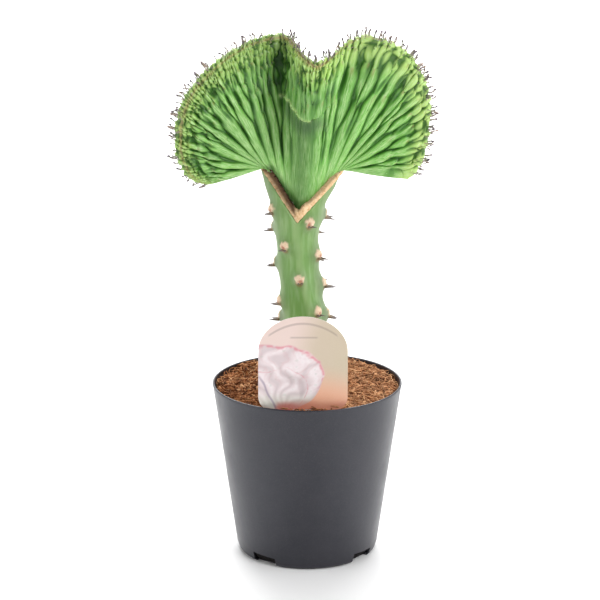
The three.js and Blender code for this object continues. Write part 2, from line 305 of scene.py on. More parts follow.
# %% Camera, floor and lights
CAMERA_DISTANCE = 1254
CAMERA_HEIGHT = 501.6
CAMERA_SIDE = -4
CAMERA_PITCH = math.radians(15.93)
LENS = 142.4
FLOOR_HALF = 6000
WORLD_STRENGTH = 0.78


def make_camera():
    data = bpy.data.cameras.new("studio_camera")
    data.lens = LENS
    data.clip_start = 0.05
    camera = bpy.data.objects.new("studio_camera", data)
    camera.location = (CAMERA_SIDE * MM, -CAMERA_DISTANCE * MM, CAMERA_HEIGHT * MM)
    camera.rotation_euler = (math.pi / 2 - CAMERA_PITCH, 0, 0)
    bpy.context.scene.collection.objects.link(camera)
    bpy.context.scene.camera = camera


def make_floor():
    material, tree, shader = new_material("pale_floor", Roughness=0.7)
    feed(tree, shader, Base_Color=tree.ramp(tree.noise(3.0), [(0.3, 0.9), (0.7, 0.93)]))
    corners = [(x * FLOOR_HALF, y * FLOOR_HALF, 0) for x, y in ((-1, -1), (1, -1), (1, 1), (-1, 1))]
    new_object("floor", corners, [[(0, 1, 2, 3)]], material)


def make_light(name, place, target, size, power):
    """A square soft light at a place, facing a target, all in millimetres."""
    data = bpy.data.lights.new(name, "AREA")
    data.size = size * MM
    data.energy = power
    light = bpy.data.objects.new(name, data)
    light.location = [v * MM for v in place]
    heading = np.array(target, float) - np.array(place, float)
    light.rotation_euler = Vector(heading).to_track_quat("-Z", "Y").to_euler()
    bpy.context.scene.collection.objects.link(light)


def make_world():
    """A white room, dimmer on the camera's side so that dark plastic keeps its depth."""
    world = bpy.data.worlds.new("studio_world")
    world.use_nodes = True
    tree = Tree(world.node_tree)
    heading = tree.add("ShaderNodeTexCoord").outputs["Generated"]
    depth = tree.add("ShaderNodeSeparateXYZ", {"Vector": heading}).outputs["Y"]
    shade = tree.ramp(tree.spread(depth, -1.0, 0.3), [(0.0, 0.42), (1.0, 1.0)])
    background = world.node_tree.nodes["Background"]
    background.inputs["Strength"].default_value = WORLD_STRENGTH
    world.node_tree.links.new(shade, background.inputs["Color"])
    bpy.context.scene.world = world


make_camera()
make_floor()
make_world()
make_light("key_light", (1000, -1100, 1300), (0, 0, 170), 800, 15)
make_light("fill_light", (-1400, -300, 500), (0, 0, 120), 1200, 6)
make_light("side_light", (1400, -150, 500), (0, 0, 100), 1200, 6)
make_light("rim_light", (-200, 1300, 1100), (0, 0, 200), 900, 8)
make_light("backdrop_light", (0, 2600, 2600), (0, 2400, 0), 3000, 170)
bpy.context.scene.view_settings.view_transform = "Standard"
print("camera, floor, world and lights are in place")

# %% [markdown]
# ## The pot
#
# A nursery pot is thin plastic blown or pressed over a former: a tapered wall, a rounded lower
# corner, a flat base and drain slots cut through the corner. The model in the frame has the right
# sizes but flat facets, which would show along its edge. So the pot is turned again here from its
# section, with many more steps round it and a small round on the rim, and the slots are cut out
# with a Boolean modifier, as a maker would mill them out of the former.

# %% Turn the pot and cut its slots
POT_RIM_RADIUS, _, POT_HEIGHT = np.array(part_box("pot")[1]) / MM
POT_FOOT_RADIUS = 38.8
POT_CORNER_RADIUS = 3.0
POT_WALL = 1.2
SLOT_BEARINGS = [-38, 52, 142, 232]
SLOT_WIDTH = 15.0
SLOT_HEIGHTS = (6.0, 5.2)
SLOT_REACH = 5.0
POT_STEPS = 176


def pot_radius(height):
    return POT_FOOT_RADIUS + (POT_RIM_RADIUS - POT_FOOT_RADIUS) * height / POT_HEIGHT


def arc_points(centre, radius, start, end, steps):
    """Points on an arc of a section: centre and radius, with angles in degrees."""
    angles = np.radians(np.linspace(start, end, steps))
    ring = np.stack([np.cos(angles), np.sin(angles)], axis=1)
    return np.array(centre) + radius * ring


def pot_section():
    """The pot's section from the middle of its underside, up the wall and back inside."""
    corner = (POT_FOOT_RADIUS - POT_CORNER_RADIUS, POT_CORNER_RADIUS)
    lip = POT_WALL / 2
    lip_centre = (POT_RIM_RADIUS - lip, POT_HEIGHT - lip)
    heights = np.linspace(POT_CORNER_RADIUS + 2, POT_HEIGHT - 2, 14)
    wall = np.stack([pot_radius(heights), heights], axis=1)
    return np.vstack([
        [(0.01, 0), (20, 0)],
        arc_points(corner, POT_CORNER_RADIUS, -90, -4, 9),
        wall,
        arc_points(lip_centre, lip, 0, 180, 9),
        wall[::-1] - (POT_WALL, 0),
        arc_points(corner, POT_CORNER_RADIUS - POT_WALL, -8, -90, 6),
        [(20, POT_WALL), (0.01, POT_WALL)],
    ])


def turned(section, steps):
    """A section of (radius, height) turned round the Z axis, closed at the axis."""
    angles = np.linspace(0, 2 * math.pi, steps, endpoint=False)
    radius, height = section[:, 0, None], section[:, 1, None]
    points = np.stack([radius * np.cos(angles), radius * np.sin(angles), height + 0 * angles], 2)
    rows = len(section)
    first, last = list(range(steps))[::-1], list(range((rows - 1) * steps, rows * steps))
    return points, [grid_faces(rows, steps), [first], [last]]


def slot_cutter(bearing):
    """A block with a slanted top, across the pot's corner at a bearing from the front."""
    half = SLOT_WIDTH / 2
    near, far = -POT_FOOT_RADIUS - 2, -POT_FOOT_RADIUS + SLOT_REACH
    left, right = SLOT_HEIGHTS
    outline = [(-half, -1), (half, -1), (half, right), (-half, left)]
    flat = np.array([(x, y, z) for y in (near, far) for x, z in outline])
    turn = math.radians(bearing)
    across = flat[:, 0] * math.cos(turn) - flat[:, 1] * math.sin(turn)
    along = flat[:, 0] * math.sin(turn) + flat[:, 1] * math.cos(turn)
    faces = [(0, 1, 2, 3), (7, 6, 5, 4), (0, 4, 5, 1), (1, 5, 6, 2), (2, 6, 7, 3), (3, 7, 4, 0)]
    return new_object("slot_cutter", np.stack([across, along, flat[:, 2]], 1), [faces])


def settle(made):
    """Turn an object with live modifiers into a plain mesh."""
    evaluated = made.evaluated_get(bpy.context.evaluated_depsgraph_get())
    mesh = bpy.data.meshes.new_from_object(evaluated)
    made.modifiers.clear()
    made.data = mesh


def make_pot():
    points, faces = turned(pot_section(), POT_STEPS)
    pot = new_object("nursery_pot", points, faces)
    for bearing in SLOT_BEARINGS:
        cutter = slot_cutter(bearing)
        cut = pot.modifiers.new("slot", "BOOLEAN")
        cut.object = cutter
        cut.solver = "EXACT"
        settle(pot)
        bpy.data.objects.remove(cutter, do_unlink=True)
    pot.data.set_sharp_from_angle(angle=math.radians(40))
    report(pot)
    return pot


pot = make_pot()

# %% [markdown]
# The plastic is recycled and near black, with a faint blue cast. It is half glossy, so its sides
# catch a bright streak from the room while its middle stays dark. Handling leaves pale rubbed
# patches and fine dust, and the moulded skin is very slightly uneven. So the finish varies the
# roughness with soft patches and lays a little pale dust over the base colour.

# %% Pot plastic
def make_pot_plastic():
    material, tree, shader = new_material(
        "pot_plastic", Specular_IOR_Level=0.55, Specular_Tint=(0.9, 0.93, 1.0, 1.0),
    )
    patches, _ = place_group(tree, skin_group, 14.0)
    _, specks = place_group(tree, skin_group, 2.2)
    dust = tree.ramp(specks, [(0.52, 0.0), (0.72, 0.2)])
    colour = tree.layers((24, 23, 31), [(patches, (34, 32, 39)), (dust, (96, 94, 96))])
    feed(tree, shader, Base_Color=colour, Roughness=tree.spread(patches, to_low=0.3, to_high=0.42))
    bump(tree, shader, patches, 0.12, 0.5)
    return material


pot.data.materials.append(make_pot_plastic())
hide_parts("pot")
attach(pot, "root")

# %% [markdown]
# ## The coir
#
# The pot is filled with coir: shredded coconut husk, which is crumbs of pith with curly fibres
# through it. It lies a few millimetres under the rim, a little higher in the middle, and it is
# heaped slightly towards the back. The ground is a lumpy closed disc that fills the pot. What gives
# it its look is the loose stuff on top, so a Geometry Nodes tree scatters crumbs and strands over
# the disc, each turned and sized at random.

# %% The bed of coir
COIR_EDGE_DROP = 3.2
COIR_RISE = 2.0
COIR_SEED = 11
COIR_EDGE_ROUND = 2.2
COIR_HEAP = 2.2
COIR_STEPS = 150
COIR_RADIUS = 51
COIR_BACK = 38


def coir_height(radius):
    """The height of the bed: highest in the middle and falling to the wall."""
    reach = pot_radius(POT_HEIGHT) - POT_WALL
    share = np.clip(radius / reach, 0, 1)
    rise = COIR_RISE * np.cos(share * math.pi / 2)
    return POT_HEIGHT - COIR_EDGE_DROP + rise - COIR_EDGE_ROUND * blend(0.86, 1.0, share)


def make_coir_bed():
    floor = POT_WALL + 0.3
    top_radii = np.linspace(0.05, pot_radius(POT_HEIGHT - COIR_EDGE_DROP) - POT_WALL - 0.1, 60)
    side_heights = np.linspace(POT_HEIGHT - COIR_EDGE_DROP - 4, POT_CORNER_RADIUS + 1, 8)
    side = np.stack([pot_radius(side_heights) - POT_WALL - 0.15, side_heights], 1)
    section = np.vstack([
        np.stack([top_radii, coir_height(top_radii)], 1), side,
        [(POT_FOOT_RADIUS - POT_CORNER_RADIUS, floor), (0.05, floor)],
    ])[::-1]
    points, faces = turned(section, COIR_STEPS)
    lumps = 0.7 * ripple(points, 9.0, COIR_SEED) + 0.5 * ripple(points, 4.0, COIR_SEED + 1)
    on_top = points[..., 2] > POT_HEIGHT - COIR_EDGE_DROP - 2.6
    outer = blend(0.5, 0.95, np.hypot(points[..., 0], points[..., 1]) / COIR_RADIUS)
    heaped = COIR_HEAP * blend(0, COIR_BACK, points[..., 1]) * outer
    points[..., 2] += np.where(on_top, lumps * 0.8 + heaped, 0)
    bed = new_object("coir_bed", points, faces)
    mark(bed, "top", on_top)
    report(bed)
    return bed


coir = make_coir_bed()

# %% [markdown]
# The tree has three parts: a shape to repeat, places to put it, and a turn and a size for each
# place. The crumb is a squashed, low sphere, and the strand is an arc with a four-sided section, in
# three curls. Both have only a few dozen faces because there are thousands. A random number is
# stored on each copy before the copies are made real, so that the material can give each its own
# brown.

# %% Scatter crumbs and strands with Geometry Nodes
STRAND_SWEEPS_AND_LEANS = [(2.6, 0.5), (1.5, 0.9), (4.2, 0.35)]


def geometry_tree(name, inputs):
    """A Geometry Nodes group with one geometry in and out, and named number inputs."""
    group = bpy.data.node_groups.new(name, "GeometryNodeTree")
    group.interface.new_socket("Geometry", in_out="INPUT", socket_type="NodeSocketGeometry")
    for key, default in inputs.items():
        kind = "NodeSocketInt" if isinstance(default, int) else "NodeSocketFloat"
        group.interface.new_socket(key, in_out="INPUT", socket_type=kind).default_value = default
    group.interface.new_socket("Geometry", in_out="OUTPUT", socket_type="NodeSocketGeometry")
    tree = Tree(group)
    return group, tree, tree.add("NodeGroupInput").outputs, tree.add("NodeGroupOutput").inputs[0]


def grow(made, name, group, values):
    """Run a node tree on an object with these inputs, and settle the result to a plain mesh."""
    modifier = made.modifiers.new(name, "NODES")
    modifier.node_group = group
    for item in group.interface.items_tree:
        if item.item_type == "SOCKET" and item.in_out == "INPUT" and item.name in values:
            modifier[item.identifier] = values[item.name]
    settle(made)
    report(made)


def store(tree, geometry, name, value, domain="POINT"):
    values = {"Geometry": geometry, "Name": name, "Value": value}
    return tree.first("GeometryNodeStoreNamedAttribute", values, data_type="FLOAT", domain=domain)


def named(tree, name, kind="FLOAT"):
    return tree.first("GeometryNodeInputNamedAttribute", {"Name": name}, data_type=kind)


def random_number(tree, low, high, seed):
    return tree.add("FunctionNodeRandomValue", {2: low, 3: high, "Seed": seed}).outputs[1]


def join(tree, parts):
    joined = tree.add("GeometryNodeJoinGeometry")
    for part in parts:
        tree.tree.links.new(part, joined.inputs[0])
    return joined.outputs[0]


def tube(tree, line, sides, thickness):
    """A line swept with a small ring of a few sides, closed at both ends."""
    ring = tree.first("GeometryNodeCurvePrimitiveCircle", {"Resolution": sides, "Radius": thickness})
    values = {"Curve": line, "Profile Curve": ring, "Fill Caps": True}
    return tree.first("GeometryNodeCurveToMesh", values)


def finish_copies(tree, copies, material):
    """Give each copy a random shade, make the copies real and give them a material."""
    shaded = store(tree, copies, "shade", random_number(tree, 0.0, 1.0, 7), "INSTANCE")
    real = tree.first("GeometryNodeRealizeInstances", {"Geometry": shaded})
    painted = tree.first("GeometryNodeSetMaterial", {"Geometry": real, "Material": material})
    return tree.first("GeometryNodeSetShadeSmooth", {"Geometry": painted})


def random_turn(tree, seed, lean):
    """A random rotation: any way round the upright, and leaning by up to an angle."""
    ends = {0: (-lean, -lean, 0.0), 1: (lean, lean, 2 * math.pi), "Seed": seed}
    return tree.first("FunctionNodeRandomValue", ends, data_type="FLOAT_VECTOR")


def scatter(tree, geometry, density, seed, shape, turn, sizes):
    """Copies of a shape at random places on the faces marked as the top."""
    top = tree.first("FunctionNodeCompare", {0: named(tree, "top"), 1: 0.5}, operation="GREATER_THAN")
    spots = tree.first("GeometryNodeDistributePointsOnFaces", {
        "Mesh": geometry, "Selection": top, "Density": density, "Seed": seed,
    })
    return tree.first("GeometryNodeInstanceOnPoints", {
        "Points": spots, "Instance": shape, "Rotation": turn,
        "Scale": random_number(tree, *sizes, seed),
    })


def coir_litter_tree(material):
    group, tree, given, result = geometry_tree("coir litter", {
        "Crumb Density": 1.0, "Strand Density": 1.0, "Crumb Size": 0.001, "Strand Thickness": 0.0003,
        "Strand Curl": 0.004, "Seed": COIR_SEED,
    })
    bed, seed = given["Geometry"], given["Seed"]
    ball = tree.first("GeometryNodeMeshIcoSphere", {"Radius": given["Crumb Size"], "Subdivisions": 1})
    crumb = tree.first("GeometryNodeTransform", {"Geometry": ball, "Scale": (1.4, 0.8, 0.6)})
    turn = random_turn(tree, 3, 0.9)
    layers = [scatter(tree, bed, given["Crumb Density"], seed, crumb, turn, (0.5, 1.7))]
    for number, (sweep, lean) in enumerate(STRAND_SWEEPS_AND_LEANS):
        arc = {"Resolution": 7, "Radius": given["Strand Curl"], "Sweep Angle": sweep}
        strand = tube(tree, tree.first("GeometryNodeCurveArc", arc), 4, given["Strand Thickness"])
        turn = random_turn(tree, 20 + number, lean)
        own_seed = tree.math("ADD", seed, float(number + 1))
        layers.append(scatter(
            tree, bed, given["Strand Density"], own_seed, strand, turn, (0.45, 1.5),
        ))
    group.links.new(finish_copies(tree, join(tree, layers), material), result)
    return group


# %% [markdown]
# Husk is orange-brown, and each crumb and strand has dried to its own shade. The finish takes its
# brown from the random shade kept on each copy and darkens the hollows of a coarse grain. It paints
# light and shade too: the right side, where the key light falls, is painted lighter, and below a set
# height the bed and the crumbs go almost to black, a painted shade in the gaps between the top crumbs.

# %% Coir finish and litter
def make_coir_finish():
    material, tree, shader = new_material("coir_husk", Roughness=0.92, Specular_IOR_Level=0.2)
    height, crumbs = place_group(tree, grain_group, 1.1)
    browns = tree.ramp(tree.attribute("shade"), [
        (0.0, (92, 52, 26)), (0.35, (150, 92, 52)), (0.7, (184, 122, 78)), (1.0, (214, 164, 120)),
    ])
    hollows = tree.ramp(crumbs, [(0.3, 0.45), (0.6, 1.0)])
    husk = tree.mix(0.8, browns, hollows, "MULTIPLY")
    where = tree.add("ShaderNodeSeparateXYZ", {"Vector": tree.place()}).outputs
    # Painted light: lighter towards the right, where the key light falls.
    painted_light_side = tree.times(tree.spread(where["X"], -0.02, 0.03), 0.28)
    lighter = tree.mix(painted_light_side, husk, (214, 164, 124))
    # Painted shade: below a set height the bed and the crumbs go almost to black.
    deep = tree.spread(where["Z"], 0.086, 0.09)
    feed(tree, shader, Base_Color=tree.mix(deep, (14, 11, 10), lighter))
    bump(tree, shader, height, 0.5)
    return material


coir_finish = make_coir_finish()
coir.data.materials.append(coir_finish)
litter = coir.copy()
litter.data = coir.data.copy()
litter.name = "coir_litter"
bpy.context.scene.collection.objects.link(litter)
grow(litter, "litter", coir_litter_tree(coir_finish), {
    "Crumb Density": 400000.0, "Strand Density": 88000.0, "Crumb Size": 1.0 * MM,
    "Strand Thickness": 0.3 * MM, "Strand Curl": 3.4 * MM, "Seed": COIR_SEED,
})

# %% [markdown]
# Strands that landed near the wall can stick through it, which coir in a pot cannot do. Rather
# than choose a seed that happens to look right, every point of the litter is moved inside the wall
# and kept under a ceiling a few millimetres above the bed.

# %% Keep the litter inside the pot
def tidy_litter(made):
    count = len(made.data.vertices)
    flat = np.empty(count * 3, dtype=np.float32)
    made.data.vertices.foreach_get("co", flat)
    points = flat.reshape(-1, 3) / MM
    radius = np.hypot(points[:, 0], points[:, 1])
    limit = pot_radius(points[:, 2]) - POT_WALL - 0.25
    squeeze = np.minimum(1.0, limit / np.maximum(radius, 1e-6))
    points[:, :2] *= squeeze[:, None]
    ceiling = coir_height(radius) + 3.4 + 1.6 * blend(0, COIR_BACK, points[:, 1])
    points[:, 2] = np.minimum(points[:, 2], ceiling)
    made.data.vertices.foreach_set("co", (points * MM).astype(np.float32).ravel())
    made.data.update()
    print("litter points moved in from the wall:", int((squeeze < 1).sum()), "of", count)


tidy_litter(litter)
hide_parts("growing_medium")
for piece in (coir, litter):
    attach(piece, "root")

# %% [markdown]
# ## The crest
#
# A crest is what grows when a plant's growing point widens into a line. The line lengthens faster
# than the tissue below it, so the fan is forced into folds, and new ribs keep squeezing in between
# the old ones as it widens, the way gills do under a mushroom cap. Three things make its shape:
# the fan itself, swept from a short foot in the graft to a long rim; its folds, which swing the
# fan forwards and back; and its ribs, each parted along its length into plump tubercles.
#
# The middle of the front is the hardest part: a hood hangs there over the trunk, with a deep valley
# on its left. Both are drawn as lines in the front view, and every point moves by how near it is to
# them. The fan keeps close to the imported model's rim, foot and thickness, and leaves them by a few
# millimetres only where the ends of the rim droop and the hood hangs forwards.

# %% The crest's rim, foot and drawn lines
RIM_POINTS = [
    (-53.5, 1, 208.5), (-61, -2, 215.5), (-65.5, -5, 225), (-66.5, -7, 236), (-65, -9, 247),
    (-60.5, -10, 258), (-52, -10, 268.5), (-42.5, -8, 276.5), (-33, -3, 281.5),
    (-24, 7, 283.5), (-15.5, 13, 283.5), (-9, 4, 283), (-4.5, -9, 280), (0, -15, 276.5),
    (5.5, -16, 274.5), (11.5, -13, 277.5), (19.5, -9, 283), (29.5, -9, 287),
    (41, -12, 285), (51.5, -11, 278), (57.5, -8, 268), (61, -4, 258), (62, -2, 247),
    (61, 0, 235), (58, 2, 223), (53.5, 3, 211.5),
]
SEAT_LEFT, SEAT_BOTTOM, SEAT_RIGHT = (-23, 218.8), (-4.9, 194.4), (18.6, 217.6)
RIM_THICKNESS = 5.4
RIM_LEAN = 0.25
FAN_THICKNESS = 4.0
TRUNK_THICKNESS = 7.8
COLUMNS = 660
FRONT_ROWS = 96
CAP_ROWS = 20
BACK_ROWS = 34
RIM_END_BOW = -0.6
ROW_CROWDING = 1.4
VALLEY_DEPTH = 5.2
VALLEY_WIDTH = 7.5
BELLY_DEPTH = 3
HOOD_DEPTH = 6.5
VALLEY = [(-13, 284), (-18, 268), (-19.5, 250), (-17, 232)]
HOOD_SIDE = [(-14.6, 257), (-11.5, 260), (-10.7, 265), (-10.7, 286)]
HOOD_EDGE = [(-14.6, 257), (-12, 257.6), (-6.5, 251.5), (-3.3, 248), (1, 247), (6, 249.5), (15, 257)]
TRUNK = [(-5, 196), (-4, 215), (-1, 243)]


def through(points, count):
    """An even walk along a centripetal Catmull-Rom curve through some points."""
    p = np.array(points, dtype=float)
    p = np.vstack([2 * p[0] - p[1], p, 2 * p[-1] - p[-2]])
    pieces = []
    for p0, p1, p2, p3 in zip(p, p[1:], p[2:], p[3:]):
        t1 = np.linalg.norm(p1 - p0) ** 0.5
        t2 = t1 + np.linalg.norm(p2 - p1) ** 0.5
        t3 = t2 + np.linalg.norm(p3 - p2) ** 0.5
        t = np.linspace(t1, t2, 40, endpoint=False)[:, None]
        a = (t1 - t) / t1 * p0 + t / t1 * p1
        b = (t2 - t) / (t2 - t1) * p1 + (t - t1) / (t2 - t1) * p2
        c = (t3 - t) / (t3 - t2) * p2 + (t - t2) / (t3 - t2) * p3
        ab = (t2 - t) / t2 * a + t / t2 * b
        bc = (t3 - t) / (t3 - t1) * b + (t - t1) / (t3 - t1) * c
        pieces.append((t2 - t) / (t2 - t1) * ab + (t - t1) / (t2 - t1) * bc)
    walk = np.vstack(pieces + [p[-2:-1]])
    length = np.r_[0, np.cumsum(np.linalg.norm(np.diff(walk, axis=0), axis=1))]
    even = np.linspace(0, length[-1], count)
    return np.stack([np.interp(even, length, walk[:, i]) for i in range(3)], 1), length[-1]


def bell(value, middle, width):
    return np.exp(-(((value - middle) / width) ** 2))


# %% [markdown]
# Next come the rules for one point of the fan: how near it is to a drawn line, whether it lies on
# the hood, how far its side swings forwards or back, and how thick the fan is there. The skin is
# then swept row by row, up the front, over the rim in a half circle, and down the back.

# %% The crest's folds and its bare skin
def near(points, line, width):
    """1 on a line drawn in the front view, fading to 0 over a width in millimetres."""
    flat = points[..., ::2]
    best = np.full(flat.shape[:-1], np.inf)
    for start, end in zip(np.array(line[:-1], float), np.array(line[1:], float)):
        step = end - start
        share = np.clip((flat - start) @ step / (step @ step), 0, 1)
        best = np.minimum(best, np.linalg.norm(flat - start - share[..., None] * step, axis=-1))
    return np.exp(-((best / width) ** 2))


def under_hood(points):
    """1 on the hood, the fold that hangs over the middle of the fan, and 0 round it."""
    x, z = points[..., 0], points[..., 2]
    edge_z = np.interp(x, *np.transpose(HOOD_EDGE))
    edge_x = np.interp(z, *np.transpose(HOOD_SIDE)[::-1])
    return blend(-0.7, 0.9, z - edge_z) * blend(-0.7, 0.7, x - edge_x) * blend(20, 7, x)


def foot_line(along):
    """Where each column of the fan starts, down one arm of the V and up the other."""
    eased = 0.88 * blend(0.14, 0.86, along) + 0.12 * along
    reach = (np.abs(eased - 0.5) * 2 * 0.97)[:, None]
    side = np.where(eased[:, None] < 0.5, SEAT_LEFT, SEAT_RIGHT)
    place = np.array(SEAT_BOTTOM) * (1 - reach) + side * reach
    return np.stack([place[:, 0], 0 * along, place[:, 1] + 0.6], 1)


def fold_depth(points, along, up, rim_depth, side=-1):
    """How far one side of the fan swings forwards (negative) or back."""
    valley = VALLEY_DEPTH * near(points, VALLEY, VALLEY_WIDTH)
    valley = valley * np.sin(math.pi * min(up, 0.8) / 1.6)
    belly = -BELLY_DEPTH * np.sin(math.pi * up) * bell(along, 0.5, 0.2)
    share = 1 - 0.7 * blend(0.8, 1.0, up) if side < 0 else 0.3 * blend(0.6, 1.0, up)
    hood = -HOOD_DEPTH * under_hood(points) * share
    pleats = np.sin(2 * math.pi * 9.5 * along + 0.7) + 0.6 * np.sin(2 * math.pi * 17 * along + 2.1)
    return rim_depth * up ** 1.6 + valley + belly + hood + pleats * 0.8 * up ** 2


def half_thickness(along, up):
    trunk = np.maximum(TRUNK_THICKNESS * bell(along, 0.5, 0.24), FAN_THICKNESS)
    foot = trunk * (1 - blend(0, 0.5, up))
    upper = FAN_THICKNESS + (RIM_THICKNESS - FAN_THICKNESS) * blend(0.5, 1, up)
    inset = np.clip(np.minimum(along, 1 - along) / 0.05, 0, 1)
    rounding = np.maximum(0.28, np.sqrt(1 - (1 - inset) ** 2))
    return (foot + upper * blend(0, 0.5, up)) * rounding


def crest_skin():
    """The bare fan: a grid from the foot up the front, over the rim and down the back."""
    along = np.linspace(0, 1, COLUMNS)
    rim, rim_length = through(RIM_POINTS, COLUMNS)
    foot = foot_line(along)
    bow = RIM_END_BOW * (1 - blend(0, 0.22, np.minimum(along, 1 - along)))
    front_up = 1 - (1 - np.linspace(0, 1, FRONT_ROWS)) ** ROW_CROWDING
    back_up = front_up[np.linspace(0, FRONT_ROWS - 1, BACK_ROWS).round().astype(int)][::-1]
    rows, ups = [], []
    for side, levels in ((-1, front_up), (1, back_up)):
        for up in levels:
            row = foot + (rim - foot) * up
            row[:, 2] += bow * math.sin(math.pi * up)
            row[:, 1] = fold_depth(row, along, up, rim[:, 1], side)
            row[:, 1] += side * half_thickness(along, up)
            rows.append(row)
            ups.append(up)
    outward = (rim - foot) * (1, 0, 1)
    outward /= np.linalg.norm(outward, axis=1, keepdims=True)
    middle = fold_depth(rim, along, 1.0, rim[:, 1])
    half = half_thickness(along, 1.0)
    cap = []
    for turn in np.linspace(0, math.pi, CAP_ROWS + 2)[1:-1]:
        rise = half * math.sin(turn)
        row = rim + outward * rise[:, None]
        row[:, 1] = middle - half * math.cos(turn) - RIM_LEAN * rise
        cap.append(row)
    points = np.array(rows[:FRONT_ROWS] + cap + rows[FRONT_ROWS:])
    up = np.concatenate([ups[:FRONT_ROWS], np.ones(CAP_ROWS), ups[FRONT_ROWS:]])
    turn = np.concatenate([
        np.zeros(FRONT_ROWS), np.linspace(0, 1, CAP_ROWS + 2)[1:-1], np.ones(BACK_ROWS),
    ])
    print(f"rim {rim_length:.0f} mm long; grid of {points.shape[0]} by {COLUMNS} points")
    return points, along, up, turn, rim_length


crest_points, crest_along, crest_up, crest_turn, rim_length = crest_skin()

# %% [markdown]
# The ribs are worked out as a contest. Each rib has a place along the rim and a height on the fan
# where it starts; above that it widens. Every point of the skin belongs to the rib that reaches it
# best, and the groove lies where two ribs reach it equally. A rib that starts late opens as a thin
# wedge between two older ones, and the skin is torn into a dark slit just below it.
#
# A second rule parts each rib into tubercles, long ones low on the fan and short ones near the rim.
# Each starts as a narrow point and ends plump, so that one overlaps the next like a petal.

# %% Ribs and tubercles
CREST_SEED = 23
FIRST_RIBS = 20
UP_LIMIT = 1.16
CAP_SHARE = 0.12
LEVEL_COUNT = 600
TUBERCLE_HEIGHTS = [0.0, 0.4, 0.7, 0.85, 0.95, 1.1]
TUBERCLE_LENGTHS = [0.4, 0.27, 0.17, 0.1, 0.06, 0.04]
RIGHT_DELAY = [0, 0, 0.16, 0.4]
LEVELS = [
    (1, 0.5, -0.2, 0.05, 1.0), (1, 0.0, 0.3, 0.26, 1.0), (2, 0.25, 0.62, 0.16, 0.75),
    (4, 0.125, 0.86, 0.08, 0.4),
]


def rib_list():
    """Place along the rim, starting height, wander, width and scale of each rib."""
    random = np.random.default_rng(CREST_SEED)
    ribs = []
    for (count, offset, start, spread, scale), delay in zip(LEVELS, RIGHT_DELAY):
        number = FIRST_RIBS * count
        for k in range(number):
            place = (k + offset + random.uniform(-0.2, 0.2)) / number
            begins = start + random.uniform(0, spread) + delay * blend(0.54, 0.64, place)
            ribs.append((place, begins, random.uniform(0, 6.3), random.uniform(0.82, 1.22), scale))
    return np.array(ribs)


def tubercle_table(ribs, levels):
    """For each rib and height: how far along its tubercle the height is, from 0 to 1."""
    random = np.random.default_rng(CREST_SEED + 1)
    table = np.zeros((len(ribs), len(levels)))
    count = 0
    for k, (place, start, _, _, _) in enumerate(ribs):
        longer = 1 + 0.7 * blend(0.54, 0.64, place)
        low = max(start, 0.05) - random.uniform(0, 0.05)
        while low < UP_LIMIT:
            length = np.interp(low, TUBERCLE_HEIGHTS, TUBERCLE_LENGTHS)
            high = low + longer * length * random.uniform(0.75, 1.25)
            inside = (levels >= low) & (levels < high)
            table[k, inside] = (levels[inside] - low) / (high - low)
            count += 1
            low = high
    return table, count


def rib_centres(ribs, up):
    """Where each rib runs at a height: its place, with a slow and a quick wander."""
    place, wander = ribs[:, 0], ribs[:, 2]
    return place + 0.004 * np.sin(up * 7 + wander) + 0.0015 * np.sin(up * 23 + wander * 3)


def rib_field(along, ups):
    """For each point of a grid: its rib, its nearness to the groove, its phase and any slit."""
    ribs = rib_list()
    levels = np.linspace(0, UP_LIMIT, LEVEL_COUNT)
    table, count = tubercle_table(ribs, levels)
    late = ribs[:, 1] > 0.1
    shape = (len(ups), len(along))
    owner, edge, growth, phase, slit = (np.zeros(shape) for _ in range(5))
    for i, up in enumerate(ups):
        grown = blend(ribs[:, 1], ribs[:, 1] + 0.26 * ribs[:, 4], up) ** 0.8 * ribs[:, 3]
        apart = np.abs(along[:, None] - rib_centres(ribs, up))
        cost = apart / np.maximum(grown, 1e-3)
        order = np.argpartition(cost, 1, axis=1)[:, :2]
        pair = np.take_along_axis(cost, order, axis=1)
        nearest = np.where(pair[:, 0] <= pair[:, 1], order[:, 0], order[:, 1])
        owner[i] = nearest
        edge[i] = 2 * pair.min(axis=1) / pair.sum(axis=1)
        growth[i] = grown[nearest]
        phase[i] = table[nearest, min(int(up / UP_LIMIT * LEVEL_COUNT), LEVEL_COUNT - 1)]
        reach = (up - ribs[late, 1] + 0.02) / (0.1 * ribs[late, 4])
        aside = apart[:, late] / (0.006 * ribs[late, 4])
        slit[i] = np.max(np.exp(-aside ** 2 - reach ** 2), axis=1)
    return ribs, count, owner.astype(int), edge, growth, phase, slit


crest_reach = crest_up + CAP_SHARE * np.sin(crest_turn * math.pi)
ribs, tubercles, rib_owner, rib_edge, rib_growth, rib_phase, rib_slit = rib_field(
    crest_along, crest_reach)
print(len(ribs), "ribs,", tubercles, "tubercles on each face")

# %% [markdown]
# The relief is added along the skin's own normals, so ribs on a fold lean with the fold. The same
# numbers are kept on the points as marks: how deep in a groove, how young, how near a tubercle's
# tip, how far under the hood. The material reads them, so colour and shape agree everywhere. The
# growing line is a shallow corky seam along the rim: it faces forwards on the left lobe and turns
# to the back on the right.

